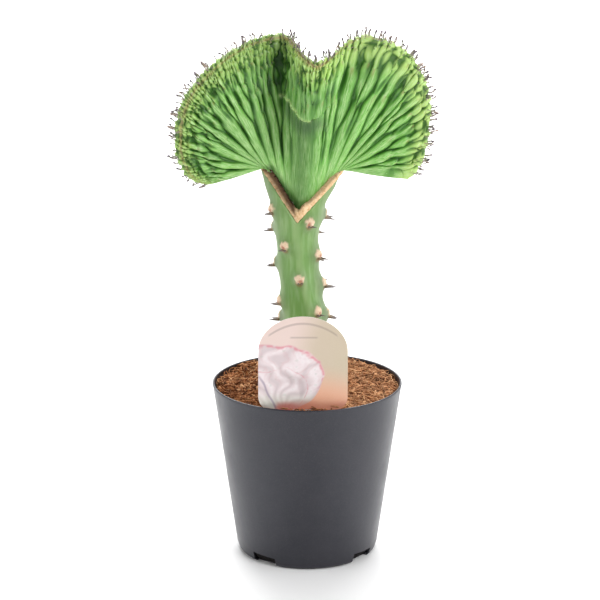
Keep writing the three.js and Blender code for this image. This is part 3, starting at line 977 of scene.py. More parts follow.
# %% Raise the relief and build the crest
LEFT_ARM = [(-20, 218), (-7, 199)]
POCKET_DEPTH = 0.8
SLIT_DEPTH = 1.2
ARM_GROOVE_DEPTH = 1.6
HOOD_LIP_RISE = 0.6
LINE_DEPTH = 0.5
RELIEF_HEIGHTS = [0.0, 0.15, 0.4, 0.75, 1.0, 1.12]
RELIEF_DEPTHS = [0.1, 0.7, 2.5, 2.8, 1.9, 1.6]
LINE_ALONG = [0.0, 0.1, 0.3, 0.42, 0.55, 0.66, 0.8, 1.0]
LINE_TURN = [0.12, 0.08, 0.2, 0.24, 0.2, 0.34, 0.62, 0.7]
on_trunk = near(crest_points, TRUNK, 8.0)
facing = 1 - crest_turn[:, None]
on_front = crest_turn[:, None] == 0
crest_hood = under_hood(crest_points) * facing
# Painted shade: a strip under the hood's edge is darkened in the skin's colour.
hood_shadow = near(crest_points - (-1.0, 0, -4.5), HOOD_EDGE[1:6], 5.0)
hood_shadow = hood_shadow * (1 - crest_hood) * facing
# Painted highlight along the hood's lip, which is also raised a little.
hood_lip = near(crest_points, HOOD_EDGE[:5], 0.9) * on_front
# Painted shade: the valley left of the hood is darkened in the skin's colour.
valley_shade = near(crest_points, VALLEY, 9.0) * (1 - crest_hood) * facing


def crest_relief():
    """Height of the skin above the bare fan, in millimetres, with its marks."""
    up = crest_reach[:, None] * np.ones(COLUMNS)
    along = np.ones((len(crest_reach), 1)) * crest_along
    right = blend(0.5, 0.6, along)
    parted = blend(0.58 - 0.28 * right, 0.76 - 0.32 * right, up)
    neck = blend(-0.1, 0.5, rib_phase)
    tip_round = 1 - blend(0.82, 1.0, rib_phase)
    width = (0.5 + 0.5 * neck) * (0.7 + 0.3 * tip_round)
    width = 1 - parted * (1 - width)
    across = np.clip(rib_edge / width, 0, 1)
    pocket = np.clip((rib_edge - width) / 0.3, 0, 1) * parted
    crown = (1 - across ** 2) ** 0.6
    strength = np.interp(up, RELIEF_HEIGHTS, RELIEF_DEPTHS)
    calm = (1 - 0.8 * on_trunk) * (1 - 0.55 * crest_hood * (1 - blend(0.8, 0.92, up)))
    strength = strength * calm * rib_growth ** 0.5
    swell = (0.45 + 0.55 * rib_phase) * (0.35 + 0.65 * tip_round)
    height = strength * crown * (1 - parted + parted * swell)
    height = height - 0.6 * strength - POCKET_DEPTH * pocket - SLIT_DEPTH * rib_slit * calm
    ends = np.clip(np.minimum(along, 1 - along) / 0.02, 0, 1)
    height = height * ends * blend(0.0, 0.06, crest_up)[:, None]
    height = height - ARM_GROOVE_DEPTH * near(crest_points, LEFT_ARM, 3.5) * on_front
    height = height + HOOD_LIP_RISE * hood_lip
    groove = across ** 3.6 * (0.25 + 0.75 * blend(0.1, 0.45, up)) * calm
    groove = groove + 0.5 * pocket + rib_slit * calm
    groove = groove * (0.3 + 0.7 * blend(0.0, 0.05, np.minimum(along, 1 - along)))
    tip = blend(0.84, 0.95, rib_phase) * (1 - blend(0.2, 0.5, across))
    tip = tip * parted * blend(0.4, 0.9, up)
    return height, np.clip(groove, 0, 1), tip, up, along


def make_crest():
    relief, groove, tip, up, along = crest_relief()
    normals = grid_normals(crest_points, wrap_columns=False)
    on_cap = (crest_turn > 0) & (crest_turn < 1)
    line_width = 0.05 + 0.12 * bell(along, 0.5, 0.08) + 0.03 * bell(along, 0.16, 0.05)
    line = bell(crest_turn[:, None], np.interp(along, LINE_ALONG, LINE_TURN), line_width)
    growing_line = line * on_cap[:, None] * (0.7 + 0.3 * bell(along, 0.5, 0.1))
    lumps = 0.25 * ripple(crest_points, 7.0, CREST_SEED + 3) * blend(0.1, 0.4, up)
    fine = 0.06 * ripple(crest_points, 1.6, CREST_SEED + 4)
    lift = relief - LINE_DEPTH * growing_line + lumps + fine
    points = crest_points + normals * lift[..., None]
    rows = len(points)
    half = rows // 2
    foot = np.arange(COLUMNS - 1)
    last = (rows - 1) * COLUMNS
    faces = [grid_faces(rows, COLUMNS, wrap=False)]
    faces.append(np.stack([foot + last, foot + last + 1, foot + 1, foot], 1))
    for column, order in ((0, 1), (COLUMNS - 1, -1)):
        down = np.arange(rows) * COLUMNS + column
        back = down[::-1]
        quads = np.stack([down[:half - 1], down[1:half], back[1:half], back[:half - 1]], 1)
        faces.append(quads[:, ::order])
    crest = new_object("crest_fan", points, faces)
    random = np.random.default_rng(CREST_SEED + 5).uniform(0, 1, len(ribs))
    # Painted shade: the valley, a strip under the hood's edge and a strip beside the V's left arm.
    shade = np.maximum(valley_shade * (0.3 + 0.7 * groove), 0.9 * hood_shadow)
    shade = np.maximum(shade, 0.7 * near(crest_points, LEFT_ARM, 2.6))
    # Painted highlight on the upper right lobe near the rim.
    lit_edge = blend(0.6, 0.66, along) * blend(0.7, 0.95, up) * (1 - groove)
    marks = {
        "groove": groove, "tip": tip, "young": blend(0.8, 1.02, up), "growing_line": growing_line,
        "rib_shade": random[rib_owner], "shaded": shade, "left": 1 - blend(0.36, 0.55, along),
        "smooth": np.maximum(on_trunk, 0.6 * crest_hood * (1 - blend(0.82, 0.92, up))),
        "lit": np.maximum(0.3 * lit_edge, 0.8 * hood_lip),
    }
    for name, values in marks.items():
        mark(crest, name, values)
    flow = np.stack([along * rim_length, up * 80, crest_turn[:, None] * 20 + 0 * up], axis=2)
    mark(crest, "flow", flow, "FLOAT_VECTOR")
    report(crest)
    return crest, points, normals


crest, crest_surface, crest_normals = make_crest()

# %% [markdown]
# The skin's green runs from yellow-green on young tubercles to a deeper green low down. Shade is
# painted into it: dark green in the grooves, and darker still in the valley, under the hood's edge
# and beside the left arm of the V. Long pale streaks run with the ribs, partly wax and partly a
# painted highlight on their crowns, so their noise is stretched along the fan's own flow. A painted
# highlight also lies on the hood's lip and on the upper right lobe. Tips and the growing line are
# tan with old leaf scars.

# %% Crest skin
def make_crest_skin():
    material, tree, shader = new_material(
        "crest_skin", Subsurface_Weight=0.05, Subsurface_Scale=0.002, Specular_IOR_Level=0.5,
    )
    mottle, _ = place_group(tree, skin_group, 6.0)
    wax, specks = place_group(tree, skin_group, 1.4)
    flow = {"Vector": tree.attribute("flow", "Vector"), "Scale": (1.1, 0.13, 1.0)}
    streaks = tree.noise(1.0, roughness=0.6, coordinates=tree.first("ShaderNodeMapping", flow))
    left, groove, smooth = (tree.attribute(name) for name in ("left", "groove", "smooth"))
    side_green = tree.mix(left, (114, 182, 72), (124, 182, 84))
    varied = tree.ramp(tree.attribute("rib_shade"), [(0.0, 0.86), (1.0, 1.12)])
    # Pale streaks on the rib crowns: partly wax, partly a painted highlight.
    pale_run = tree.times(tree.ramp(groove, [(0.0, 1.0), (0.4, 0.0)]),
                          tree.ramp(streaks, [(0.42, 0.0), (0.62, 1.0)]))
    line = tree.times("growing_line", tree.ramp(wax, [(0.2, 0.25), (0.7, 0.9)]))
    colour = tree.layers(tree.mix(1.0, side_green, varied, "MULTIPLY"), [
        (tree.times(mottle, 0.4), (82, 142, 50)),
        (tree.times("young", 0.7), tree.mix(left, (190, 220, 108), (162, 190, 92))),
        (tree.times(smooth, 0.9), (66, 114, 34)),
        (tree.times(pale_run, tree.ramp(smooth, [(0.0, 0.76), (1.0, 0.25)])), (184, 216, 152)),
        # Painted shade: dark green in the grooves, then darker still in the valley, under the hood's
        # edge and beside the V's left arm.
        (tree.ramp(groove, [(0.15, 0.0), (0.55, 0.5), (1.0, 0.9)]), (44, 96, 26)),
        (tree.times("shaded", 0.75), (26, 68, 14)),
        # Painted highlight on the hood's lip and the upper right lobe.
        (tree.attribute("lit"), (184, 212, 138)),
        (tree.times("tip", 0.5), (150, 136, 84)),
        (line, (176, 146, 98)),
    ])
    feed(tree, shader, Base_Color=colour, Roughness=tree.spread(specks, to_low=0.28, to_high=0.48))
    bump(tree, shader, streaks, 0.35, 0.5)
    return material


crest.data.materials.append(make_crest_skin())
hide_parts("crest")
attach(crest, "root")

# %% [markdown]
# Each young tubercle still carries its leaf, shrunk to a thread a few millimetres long with a dull
# purple end. There are hundreds, so one is modelled and a Geometry Nodes tree puts copies on
# tubercle tips near the rim. The places are a mesh of loose points, and each point keeps the way
# its leaf should stand as a vector.

# %% Places for leaf remains along the rim
LEAF_SEED = 5
LEAF_ROWS = [(0.0, 0.2, 0.45), (0.2, 0.4, 0.6), (0.36, 0.6, 0.85), (0.5, 0.6, 1.0), (0.66, 0.5, 1.0),
             (0.9, 0.3, 0.7)]


def leaf_places():
    """Points on the rim's tubercles, with the way each leaf stands and its size."""
    random = np.random.default_rng(LEAF_SEED)
    rows = np.arange(len(crest_reach))
    fan = crest_surface[FRONT_ROWS - 1] - crest_surface[FRONT_ROWS // 2]
    fan /= np.linalg.norm(fan, axis=1, keepdims=True)
    places, headings, sizes = [], [], []
    for turn, chance, long in LEAF_ROWS:
        for place in ribs[:, 0]:
            if random.uniform() > chance * (1 - 0.7 * bell(place, 0.41, 0.06)):
                continue
            row = int(np.interp(turn + random.uniform(-0.05, 0.05), crest_turn, rows))
            column = int(np.clip(place, 0.003, 0.997) * (COLUMNS - 1))
            normal = crest_normals[row, column]
            heading = fan[column] * 1.0 + normal * 0.8 + random.normal(0, 0.22, 3)
            places.append(crest_surface[row, column] - normal * 0.25)
            headings.append(heading / np.linalg.norm(heading))
            sizes.append(long * random.uniform(0.55, 1.25))
    return np.array(places), np.array(headings), np.array(sizes)


# %% [markdown]
# The copy is a thin bent tube with a small oval knob. The same small helpers, sites that keep a
# heading and a size, and copies that stand along it, serve again for the thorns further down.

# %% The leaf's shape, copies and finish
def make_sites(name, places, headings, sizes):
    """Loose points, each with the way and the size of the copy that will stand on it."""
    sites = new_object(name, places, [])
    mark(sites, "size", sizes)
    mark(sites, "heading", headings, "FLOAT_VECTOR")
    print(len(places), name)
    return sites


def stand_copies(tree, sites, shape, **turn):
    """Copies of a shape, each standing along its site's heading at its site's size."""
    way = {"Vector": named(tree, "heading", "FLOAT_VECTOR"), **turn}
    return tree.first("GeometryNodeInstanceOnPoints", {
        "Points": sites, "Instance": shape, "Scale": named(tree, "size"),
        "Rotation": tree.first("FunctionNodeAlignRotationToVector", way, axis="Z"),
    })


def leaf_tree(material):
    """A curved thread with a knob at its end, standing on each site."""
    group, tree, given, result = geometry_tree("leaf remains", {
        "Length": 0.003, "Thickness": 0.0003, "Knob": 0.0006, "Bend": 0.001, "Seed": LEAF_SEED,
    })
    bend = {0: given["Bend"], 2: tree.times(given["Length"], 0.6)}
    half_way = tree.first("ShaderNodeCombineXYZ", bend)
    top = tree.first("ShaderNodeCombineXYZ", {2: given["Length"]})
    line = tree.first("GeometryNodeCurveQuadraticBezier", {
        "Resolution": 5, "Start": (0, 0, 0), "Middle": half_way, "End": top,
    })
    ball = tree.first("GeometryNodeMeshUVSphere", {"Segments": 7, "Rings": 5, "Radius": given["Knob"]})
    knob = tree.first("GeometryNodeTransform", {
        "Geometry": ball, "Translation": top, "Scale": (0.85, 0.85, 1.35),
    })
    leaf = join(tree, [tube(tree, line, 5, given["Thickness"]), store(tree, knob, "knob", 1.0)])
    roll = tree.first("ShaderNodeCombineXYZ", {2: random_number(tree, 0.0, 6.283, given["Seed"])})
    copies = stand_copies(tree, given["Geometry"], leaf, Rotation=roll)
    group.links.new(finish_copies(tree, copies, material), result)
    return group


def make_leaf_finish():
    """Green-brown thread, purple-black knob."""
    material, tree, shader = new_material("leaf_remains", Roughness=0.55)
    browns = tree.ramp(tree.attribute("shade"), [
        (0.0, (136, 140, 116)), (0.5, (150, 140, 130)), (1.0, (164, 146, 138)),
    ])
    knobs = tree.ramp(tree.attribute("shade"), [
        (0.0, (84, 72, 84)), (0.6, (116, 102, 110)), (1.0, (156, 134, 118)),
    ])
    feed(tree, shader, Base_Color=tree.mix(tree.attribute("knob"), browns, knobs))
    return material


leaves = make_sites("leaf_remains", *leaf_places())
grow(leaves, "leaves", leaf_tree(make_leaf_finish()), {
    "Length": 3.2 * MM, "Thickness": 0.36 * MM, "Knob": 0.6 * MM, "Bend": 1.5 * MM, "Seed": LEAF_SEED,
})
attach(leaves, "root")

# %% [markdown]
# ## The rootstock
#
# The stem is a cactus-like euphorbia: soft ribs run up it, and on them sit ragged leaf scars on
# low cushions, each with two thorns under it. Its top is cut to a V, into which the crest was set.
# It is one skin over measured stations, like a potter's profile that is allowed to be wider than
# deep. The cushions and scars are raised with the same skin, so they belong to the stem.

# %% The stem's skin
STEM_STATIONS = np.array([
    (62, -1, 10.4, 10.4), (92, -1, 11.6, 11.6), (122, -1.6, 11.9, 11.9), (141, -2.5, 12.1, 12),
    (158, -4.6, 11.7, 11.8), (172, -5.3, 11.6, 11.7), (184, -5.5, 12.4, 11.8), (192, -5.1, 13.7, 11.7),
    (200, -4.5, 15.6, 11.3), (209, -3.3, 19.2, 10), (219, -2.4, 22.8, 8),
])
CUT = np.array([(-24.5, 217.5), (-5.4, 190), (20, 216.5)])
SEAT = np.array([SEAT_LEFT, SEAT_BOTTOM, SEAT_RIGHT])
SCARS = [
    (190.4, 28), (196.5, -66), (193, 96), (185.5, -108), (177.2, -33), (182.5, 132), (171.5, 62),
    (172.5, 168), (166, -96), (164.5, -150), (159.2, 2), (154.5, 84), (156.5, 128), (149.5, -170),
    (145.8, -64), (140.5, 38), (136.5, 96), (138, 150), (134.5, -104), (131, -140),
]
STEM_SEED = 31
STEM_SLIMMER = 0.7
CUSHION_RISE = 2.7
CUSHION_REACH = 4.4
SCAR_RISE = 0.7
DOT_DEPTH = 0.4


def stem_rib(height, bearing):
    """The five soft ribs, which twist a little as they rise: 1 on a rib and -1 between two."""
    return np.cos(5 * (bearing - 0.35) + 0.045 * height)


def stem_skin(height, bearing, reach=0.0):
    """A point of the stem's skin at a height, a bearing from the front and a reach out of it."""
    heights = STEM_STATIONS[:, 0]
    middle, wide, deep = (np.interp(height, heights, STEM_STATIONS[:, i]) for i in (1, 2, 3))
    rib = 0.5 * stem_rib(height, bearing)
    x = middle + np.sin(bearing) * (wide + rib + reach)
    y = -np.cos(bearing) * (deep + rib + reach)
    return np.stack([x, y, height + 0 * x], axis=-1)


def height_under(line, bearing, reach):
    """The height at which the skin meets a V-shaped line, found by a few corrections."""
    height = np.full(np.shape(bearing), 200.0)
    for _ in range(30):
        x = stem_skin(height, bearing, reach)[..., 0]
        meets = np.interp(x, line[:, 0], line[:, 1])
        height = height + 0.5 * (meets - height)
    return height


def make_stem():
    columns, rows = 212, 330
    bearing = np.linspace(0, 2 * math.pi, columns, endpoint=False)
    top = height_under(CUT, bearing, 0.0) - 0.1
    foot = STEM_STATIONS[0, 0]
    share = np.linspace(0, 1, rows)[:, None]
    height = foot + (top - foot) * share
    bare = stem_skin(height, bearing + 0 * height)
    scar, dot, swell, shield = (np.zeros(height.shape) for _ in range(4))
    ragged = 0.55 * ripple(bare, 2.0, STEM_SEED + 2)
    random = np.random.default_rng(STEM_SEED + 3)
    for place, turn in SCARS:
        centre = stem_skin(np.array(float(place)), np.radians(turn))

        def apart(aside, lower):
            return np.linalg.norm(bare - centre - (aside, 0, -lower), axis=2)

        scar = np.maximum(scar, 1 - blend(1.9, 2.8, apart(0, 0) + ragged))
        shield = np.maximum(shield, 1 - blend(1.2, 2.6, apart(0, 2.6)))
        broken_vein = apart(random.uniform(-0.8, 0.8), 1.0) + 0.6 * ragged
        dot = np.maximum(dot, 1 - blend(0.4, 1.5, broken_vein))
        swell = np.maximum(swell, bell(apart(0, 1.1), 0, CUSHION_REACH))
    lumps = 0.22 * ripple(bare, 12.0, STEM_SEED) + 0.1 * ripple(bare, 4.0, STEM_SEED + 1)
    outward = bare - np.stack([0 * height + bare[..., 0].mean(), 0 * height, height], axis=2)
    outward = outward / np.maximum(np.linalg.norm(outward, axis=2, keepdims=True), 1e-6)
    slim = STEM_SLIMMER * (1 - blend(196, 206, height))
    raised = lumps + 0.25 * ragged * scar - slim + CUSHION_RISE * swell
    raised = raised + SCAR_RISE * scar - DOT_DEPTH * dot
    points = bare + outward * (raised * blend(0.0, 0.02, 1 - share))[..., None]
    half, quarter = columns // 2, columns // 4
    base = (rows - 1) * columns
    near_side = np.arange(-quarter, quarter)
    front, front_next = near_side % columns, (near_side + 1) % columns
    back, back_next = (half - near_side) % columns, (half - near_side - 1) % columns
    lid = np.stack([front, front_next, back_next, back], 1) + base
    lid_ends = [lid[:1, [0, 1, 2]], lid[-1:, [0, 1, 3]]]
    floor = list(range(columns))[::-1]
    stem = new_object("stem", points, [grid_faces(rows, columns), lid[1:-1], *lid_ends, [floor]])
    marks = {
        "scar": scar, "swell": swell, "dot": dot, "shield": shield, "height": (height - 90) / 125,
        "painted_flank_sheen": np.abs(np.sin(bearing + 0 * height)) ** 5, "rib": stem_rib(height, bearing),
    # painted sheen: greyer where the skin turns away at the two sides
    }
    for name, values in marks.items():
        mark(stem, name, values)
    report(stem)
    return stem


stem = make_stem()

# %% [markdown]
# The skin is green with a paler bloom along its ribs, and marked by faint long streaks. Its two
# flanks are painted greyer: a painted sheen where the waxy skin turns away to the sides. The scars
# are cream cork with a red-brown dot where the leaf's veins broke, and under each lies the brown
# horn shield that carries the thorns.

# %% Stem skin finish
def make_stem_finish():
    material, tree, shader = new_material(
        "stem_skin", Subsurface_Weight=0.04, Subsurface_Scale=0.002, Specular_IOR_Level=0.45,
    )
    mottle, _ = place_group(tree, skin_group, 9.0)
    _, specks = place_group(tree, skin_group, 1.6)
    run = {"Vector": tree.place(), "Scale": (420.0, 420.0, 45.0)}
    streaks = tree.noise(1.0, coordinates=tree.first("ShaderNodeMapping", run))
    green = tree.ramp(tree.attribute("height"), [
        (0.0, (88, 130, 50)), (0.45, (102, 146, 68)), (1.0, (110, 148, 78)),
    ])
    cork = tree.ramp(specks, [(0.35, (206, 170, 136)), (0.65, (232, 214, 188))])
    colour = tree.layers(green, [
        (tree.times(mottle, 0.45), (88, 126, 58)),
        (tree.ramp(tree.attribute("rib"), [(0.35, 0.0), (1.0, 0.35)]), (158, 182, 128)),
        (tree.ramp(streaks, [(0.45, 0.0), (0.7, 0.5)]), (148, 174, 118)),
        # Painted sheen: a grey on the two sides of the stem.
        (tree.times("painted_flank_sheen", 0.6), (128, 136, 116)),
        (tree.times("swell", 0.5), (118, 128, 100)),
        (tree.times("shield", 0.7), (128, 98, 62)),
        (tree.attribute("scar"), cork),
        (tree.times("dot", 0.8), (166, 88, 58)),
    ])
    feed(tree, shader, Base_Color=colour, Roughness=tree.spread(specks, to_low=0.42, to_high=0.62))
    bump(tree, shader, streaks, 0.25, 0.5)
    return material


stem.data.materials.append(make_stem_finish())
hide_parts("rootstock")
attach(stem, "root")

# %% [markdown]
# ## The callus
#
# Where two cut plants knit, they grow cork. Here it shows as a raised V, thick at its point and on
# the right arm and thin on the left. It is a closed ring round the stem: at each bearing its section
# is a rounded block between the stem's cut and the crest's seat.

# %% The callus ring
CALLUS_PROUD = 1.05
CALLUS_DEPTH = 3.0
CALLUS_SQUARENESS = 0.62


def make_callus():
    columns, steps = 260, 22
    bearing = np.linspace(0, 2 * math.pi, columns, endpoint=False)
    low = height_under(CUT, bearing, 0.5) + 0.1
    high = np.maximum(height_under(SEAT, bearing, 0.5) + 0.25, low + 1.6)
    high = high + 2.8 * bell(stem_skin(low, bearing)[..., 0], -3.5, 3.5)
    turn = np.linspace(0, 2 * math.pi, steps, endpoint=False)[:, None]
    across, upward = (
        np.sign(part) * np.abs(part) ** CALLUS_SQUARENESS for part in (np.cos(turn), np.sin(turn))
    )
    height = (low + high) / 2 + upward * (high - low) / 2
    reach = (CALLUS_PROUD - CALLUS_DEPTH) / 2 + across * (CALLUS_PROUD + CALLUS_DEPTH) / 2
    left_arm = blend(-5.5, -8.5, stem_skin(low, bearing)[..., 0])
    hollow = left_arm * blend(-0.35, 0.05, upward)
    reach = reach - 2.4 * hollow * blend(-0.2, 0.3, across)
    points = stem_skin(height, bearing + 0 * height, reach)
    rough = 0.22 * ripple(points, 3.0, STEM_SEED + 5) + 0.1 * ripple(points, 1.2, STEM_SEED + 6)
    points += grid_normals(np.vstack([points[-1:], points, points[:1]]), True)[1:-1] * rough[..., None]
    ring = grid_faces(steps + 1, columns) % (steps * columns)
    callus = new_object("callus", points, [ring])
    # Painted shade along the top edge and in the hollow of the left arm, where the callus meets the
    # crest.
    mark(callus, "inner_shade", np.maximum(hollow, 0.35 * blend(0.6, 1.0, upward)) + 0 * height)
    mark(callus, "left", blend(2, -10, points[..., 0]))
    report(callus)
    return callus


# %% [markdown]
# Callus is tan cork. Its finish is the coarse broken grain in three tans, with two coats over it:
# a brown down the older left arm, and a painted shade of dark brown along the inner edge and in the
# hollow of the left arm, where the callus meets the crest.

# %% Callus finish
def make_callus_finish():
    material, tree, shader = new_material("callus_cork", Roughness=0.85, Specular_IOR_Level=0.25)
    height, crumbs = place_group(tree, grain_group, 1.6)
    cork = [(0.3, (196, 152, 106)), (0.5, (236, 200, 156)), (0.7, (246, 220, 184))]
    colour = tree.layers(tree.ramp(crumbs, cork), [
        # The second coat is painted shade: dark brown along the inner edge and in the left arm's
        # hollow.
        (tree.times("left", 0.4), (128, 104, 62)), (tree.times("inner_shade", 0.9), (64, 38, 20)),
    ])
    feed(tree, shader, Base_Color=colour)
    bump(tree, shader, height, 0.35)
    return material


callus = make_callus()
callus.data.materials.append(make_callus_finish())
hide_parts("graft_callus")
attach(callus, "root")

# %% [markdown]
# ## The thorns
#
# The thorns stand in pairs under the scars, spread to both sides and drooping a little. All of them
# are one shape, so one cone is made, bent by moving its points to one side as they go out, and
# copied to both places of each scar by a Geometry Nodes tree. Each place keeps the way its thorn
# points.

# %% Paired thorns with Geometry Nodes
SPINE_LENGTH = 6.2
SPINE_RADIUS = 1.1
SPINE_SPREAD = 11
SPINE_DROOP = 7
SPINE_FRONT_LIFT = 22
SPINE_SEED = 9


def thorn_places():
    """The foot, heading and size of both thorns at each scar."""
    random = np.random.default_rng(SPINE_SEED)
    places, headings, sizes = [], [], []
    for height, turn in SCARS:
        root = stem_skin(np.array(height - 2.5), np.radians(turn), 1.4)
        facing = bell(turn, 0, 50)
        sideways = np.array((math.cos(math.radians(turn)), math.sin(math.radians(turn)), 0))
        for side in (-1, 1):
            bearing = math.radians(turn + side * (SPINE_SPREAD + random.uniform(-7, 7)))
            droop = math.radians(SPINE_DROOP - SPINE_FRONT_LIFT * facing + random.uniform(-8, 8))
            way = np.array((math.sin(bearing), -math.cos(bearing), -math.tan(droop)))
            places.append(root + sideways * side * 0.7)
            headings.append(way / np.linalg.norm(way))
            sizes.append(random.uniform(0.85, 1.1) * (1 - 0.45 * facing))
    return np.array(places), headings, sizes


def thorn_tree(material):
    """A cone whose points move to one side as they go out, standing on each site."""
    group, tree, given, result = geometry_tree("paired thorns", {
        "Length": 0.005, "Radius": 0.0007, "Bend": 0.0005,
    })
    cone = tree.first("GeometryNodeMeshCone", {
        "Vertices": 12, "Side Segments": 8, "Radius Top": 0.00006,
        "Radius Bottom": given["Radius"], "Depth": given["Length"],
    })
    place = {"Vector": tree.first("GeometryNodeInputPosition")}
    upward = tree.add("ShaderNodeSeparateXYZ", place).outputs["Z"]
    share = tree.math("DIVIDE", upward, given["Length"])
    curl = tree.times(tree.times(share, share), given["Bend"])
    offset = tree.first("ShaderNodeCombineXYZ", {0: curl})
    bent = tree.first("GeometryNodeSetPosition", {"Geometry": cone, "Offset": offset})
    copies = stand_copies(tree, given["Geometry"], store(tree, bent, "share", share))
    group.links.new(finish_copies(tree, copies, material), result)
    return group


def make_thorn_finish():
    """Grey-brown horn, dark at the foot and greyed violet at the point."""
    material, tree, shader = new_material("spine_horn", Roughness=0.45)
    tones = tree.ramp(tree.attribute("share"), [
        (0.0, (134, 112, 76)), (0.3, (122, 106, 88)), (0.8, (104, 96, 100)), (1.0, (66, 54, 66)),
    ])
    varied = tree.ramp(tree.attribute("shade"), [(0.0, 0.75), (1.0, 1.1)])
    feed(tree, shader, Base_Color=tree.mix(1.0, tones, varied, "MULTIPLY"))
    return material


thorns = make_sites("thorns", *thorn_places())
grow(thorns, "thorns", thorn_tree(make_thorn_finish()), {
    "Length": SPINE_LENGTH * MM, "Radius": SPINE_RADIUS * MM, "Bend": 0.5 * MM,
})
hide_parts(*[f"spine_pair_{number:02d}" for number in range(1, len(SCARS) + 1)])
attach(thorns, "root")

# %% [markdown]
# ## The label
#
# The label is a thin printed plastic card with an arched top, on a stake pushed into the coir. The
# words on it are left out, and two plain thin rules stand in their place. What stays is its layout:
# a cream arch, a beige right side, a salmon foot and a picture of a pale crest with pink edges. The
# picture is worked out from the card's own coordinates, coat by coat, and stored as a colour on
# each point, so it needs no image.

# %% The card's outline and plate
LABEL_MIDDLE = -2.4
LABEL_HALF_WIDTH = 24.0
LABEL_FOOT = 94.0
LABEL_SHOULDER = 127.0
LABEL_TOP = 146.0
LABEL_CORNER = 8.0
LABEL_THICKNESS = 0.7
LABEL_FRONT = -43.6
LABEL_LEAN = math.radians(3)
STAKE_HALF_WIDTH = 5.5
STAKE_FOOT = 66.0
STAKE_POINT = 8.0


def card_half_width(height):
    """Half the card's width: rounded corners at its foot and an arch over its shoulder."""
    arch = np.clip((height - LABEL_SHOULDER) / (LABEL_TOP - LABEL_SHOULDER), 0, 1)
    corner = np.clip((LABEL_FOOT + LABEL_CORNER - height) / LABEL_CORNER, 0, 1)
    inset = LABEL_CORNER * (1 - np.sqrt(np.maximum(1 - corner ** 2, 0)))
    return np.maximum(LABEL_HALF_WIDTH * np.sqrt(1 - arch ** 2) - inset, 0.05)


def plate(across, height):
    """A closed thin plate: a front grid and a back grid, joined round their edges."""
    rows, columns = across.shape
    lean = (height - LABEL_FOOT) * math.tan(LABEL_LEAN)
    front = np.stack([LABEL_MIDDLE + across, LABEL_FRONT + lean, height], 2)
    back = front + (0, LABEL_THICKNESS, 0)
    points = np.concatenate([front, back])
    face = grid_faces(rows, columns, wrap=False)
    size = rows * columns
    border = np.r_[
        np.arange(columns), np.arange(1, rows) * columns + columns - 1,
        (rows - 1) * columns + np.arange(columns - 2, -1, -1), np.arange(rows - 2, 0, -1) * columns,
    ]
    following = np.roll(border, -1)
    rim = np.stack([border + size, following + size, following, border], 1)
    return points, [face, face[:, ::-1] + size, rim]


# %% [markdown]
# The picture is laid down in coats, first the card's soft grounds, then the fan with its streaks,
# pleats, fold, shadow and pink fringe, then the salmon foot and the two rules. The fan is drawn in
# an angle and a distance from a point at its foot, because its pleats spread from there.

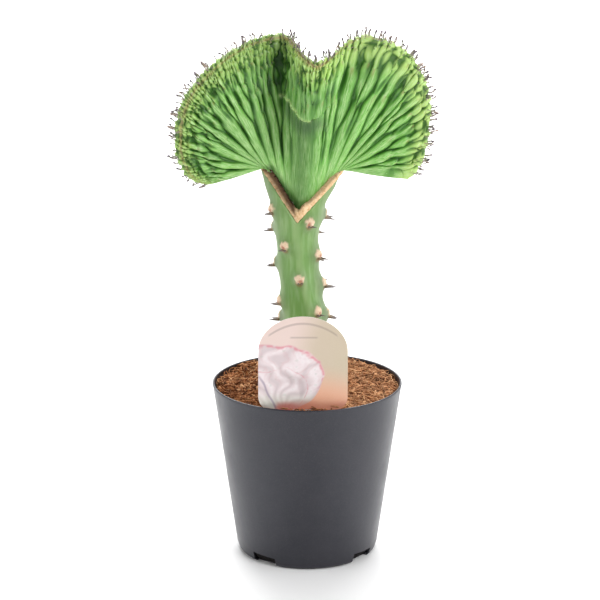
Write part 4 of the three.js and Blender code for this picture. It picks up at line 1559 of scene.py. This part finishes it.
# %% The card's picture and the finished label
def print_colours(across, height):
    """The card's picture: a pale fan with pink edges over soft cream, beige and salmon."""
    spots = np.stack([across, 0 * across, height], 2)
    cloud = 0.5 + 0.5 * ripple(spots, 14.0, 3)
    wave = ripple(spots, 11.0, 8)
    crinkle = 0.6 * ripple(spots, 3.2, 5) + 0.4 * ripple(spots, 1.5, 6)
    dx, dz = across + 11, height - 95
    angle, far = np.arctan2(dx, dz) + 0.09 * wave, np.hypot(dx, dz)
    frill = 0.9 * np.sin(7 * angle + 1) + 0.5 * np.sin(17 * angle) + 0.9 * wave
    edge = 34.5 - 10 * np.minimum(angle, 0) - 32 * np.maximum(angle - 0.66, 0) + frill
    fan = blend(edge + 0.6, edge - 0.6, far) * blend(1.65, 1.3, np.abs(angle))
    streak = 0.5 + 0.5 * np.sin(13 * angle + 1.5 * wave + 2.0 * np.sin(far * 0.3))
    pleats = 0.5 + 0.5 * np.sin(34 * angle + 2.5 * wave + 1.2 * crinkle)
    fold = blend(0.5, 0.2, np.abs(far - edge * 0.62 - 1.5 * wave)) * blend(0.0, 0.5, np.abs(angle))
    shadow = blend(2.5, 0.5, np.abs(far - edge * 0.5 - 2 * wave)) * blend(0.7, 0.2, np.abs(angle - 0.5))
    vein = blend(0.9, 0.3, np.abs(dx + 4 + 0.45 * dz - wave)) * blend(22, 14, dz)
    fringe = blend(edge - 2.2 - crinkle, edge - 0.6, far) * blend(-1.0, 0.2, crinkle)
    foot = blend(101, 96.5, height + wave) * blend(-16, -13, across)
    arc = np.abs(height - 142.2 + 7 * (across / 19) ** 2)
    rule = blend(0.5, 0.2, np.abs(height - 134.6)) * blend(8, 6.5, np.abs(across - 0.5))
    coats = [
        ((194, 178, 156), blend(-10, 10, across - 0.3 * (height - 130))),
        ((190, 178, 150), 0.6 * blend(10, 22, across) * cloud),
        ((226, 162, 128), blend(124, 100, height + 0.2 * across)),
        ((216, 200, 202), fan),
        ((178, 164, 168), 0.4 * fan * streak ** 3),
        ((196, 156, 158), 0.3 * fan * pleats ** 4 * blend(8, 20, far)),
        ((238, 232, 234), 0.7 * fan * (1 - streak) ** 2 * (0.6 + 0.4 * crinkle)),
        ((168, 172, 162), 0.35 * fan * blend(0.3, 0.9, crinkle)),
        ((200, 204, 182), 0.5 * fan * blend(106, 98, height)),
        ((200, 116, 128), 0.6 * fan * fold * blend(-0.6, 0.3, crinkle)),
        ((150, 132, 134), 0.35 * fan * shadow),
        ((134, 116, 140), 0.7 * vein * fan),
        ((206, 112, 126), 0.8 * fan * fringe * blend(1.2, 0.8, angle)),
        ((202, 88, 74), 0.8 * foot * blend(12, -8, across)),
        ((214, 130, 108), 0.5 * foot * blend(-8, 4, across)),
        ((120, 100, 98), 0.4 * blend(0.8, 0.4, arc) * blend(19, 17.5, np.abs(across))),
        ((120, 100, 98), 0.4 * rule),
    ]
    card = np.zeros(across.shape + (3,)) + linear(218, 196, 188)
    for colour, share in coats:
        card = card * (1 - share[..., None]) + np.array(linear(*colour)) * share[..., None]
    return card


def make_plate(name, across, height, picture=None):
    """A plate as an object: plain plastic, with any picture on its front."""
    points, faces = plate(across, height)
    made = new_object(name, points, faces, smooth=False)
    colours = np.tile((*linear(232, 224, 214), 1.0), (2 * across.size, 1))
    if picture is not None:
        colours[:across.size, :3] = picture.reshape(-1, 3)
    mark(made, "print", colours, "FLOAT_COLOR")
    report(made)
    return made


def make_label():
    bottom, top = LABEL_FOOT + LABEL_CORNER, LABEL_TOP - LABEL_SHOULDER
    height = np.r_[
        np.linspace(LABEL_FOOT, bottom, 14)[:-1], np.linspace(bottom, LABEL_SHOULDER, 84)[:-1],
        LABEL_SHOULDER + top * np.sin(np.linspace(0, math.pi / 2, 60)),
    ]
    across = card_half_width(height)[:, None] * np.linspace(-1, 1, 150)
    up = height[:, None] + 0 * across
    return make_plate("label_card", across, up, print_colours(across, up))


def make_stake():
    height = np.r_[np.linspace(STAKE_FOOT, STAKE_FOOT + STAKE_POINT, 6), LABEL_FOOT + 1.0]
    half = STAKE_HALF_WIDTH * np.clip((height - STAKE_FOOT) / STAKE_POINT, 0.06, 1)
    across = half[:, None] * np.linspace(-1, 1, 5)
    return make_plate("label_stake", across, height[:, None] + 0 * across)


def make_label_finish():
    material, tree, shader = new_material("label_plastic", Specular_IOR_Level=0.5, Coat_Roughness=0.15)
    patches, specks = place_group(tree, skin_group, 6.0)
    worn = tree.mix(tree.times(specks, 0.08), tree.attribute("print", "Color"), (240, 236, 228))
    feed(tree, shader, Base_Color=worn, Roughness=tree.spread(patches, to_low=0.28, to_high=0.4))
    return material


label_finish = make_label_finish()
card, stake = make_label(), make_stake()
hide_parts("plant_label")
for piece in (card, stake):
    piece.data.materials.append(label_finish)
    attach(piece, "root")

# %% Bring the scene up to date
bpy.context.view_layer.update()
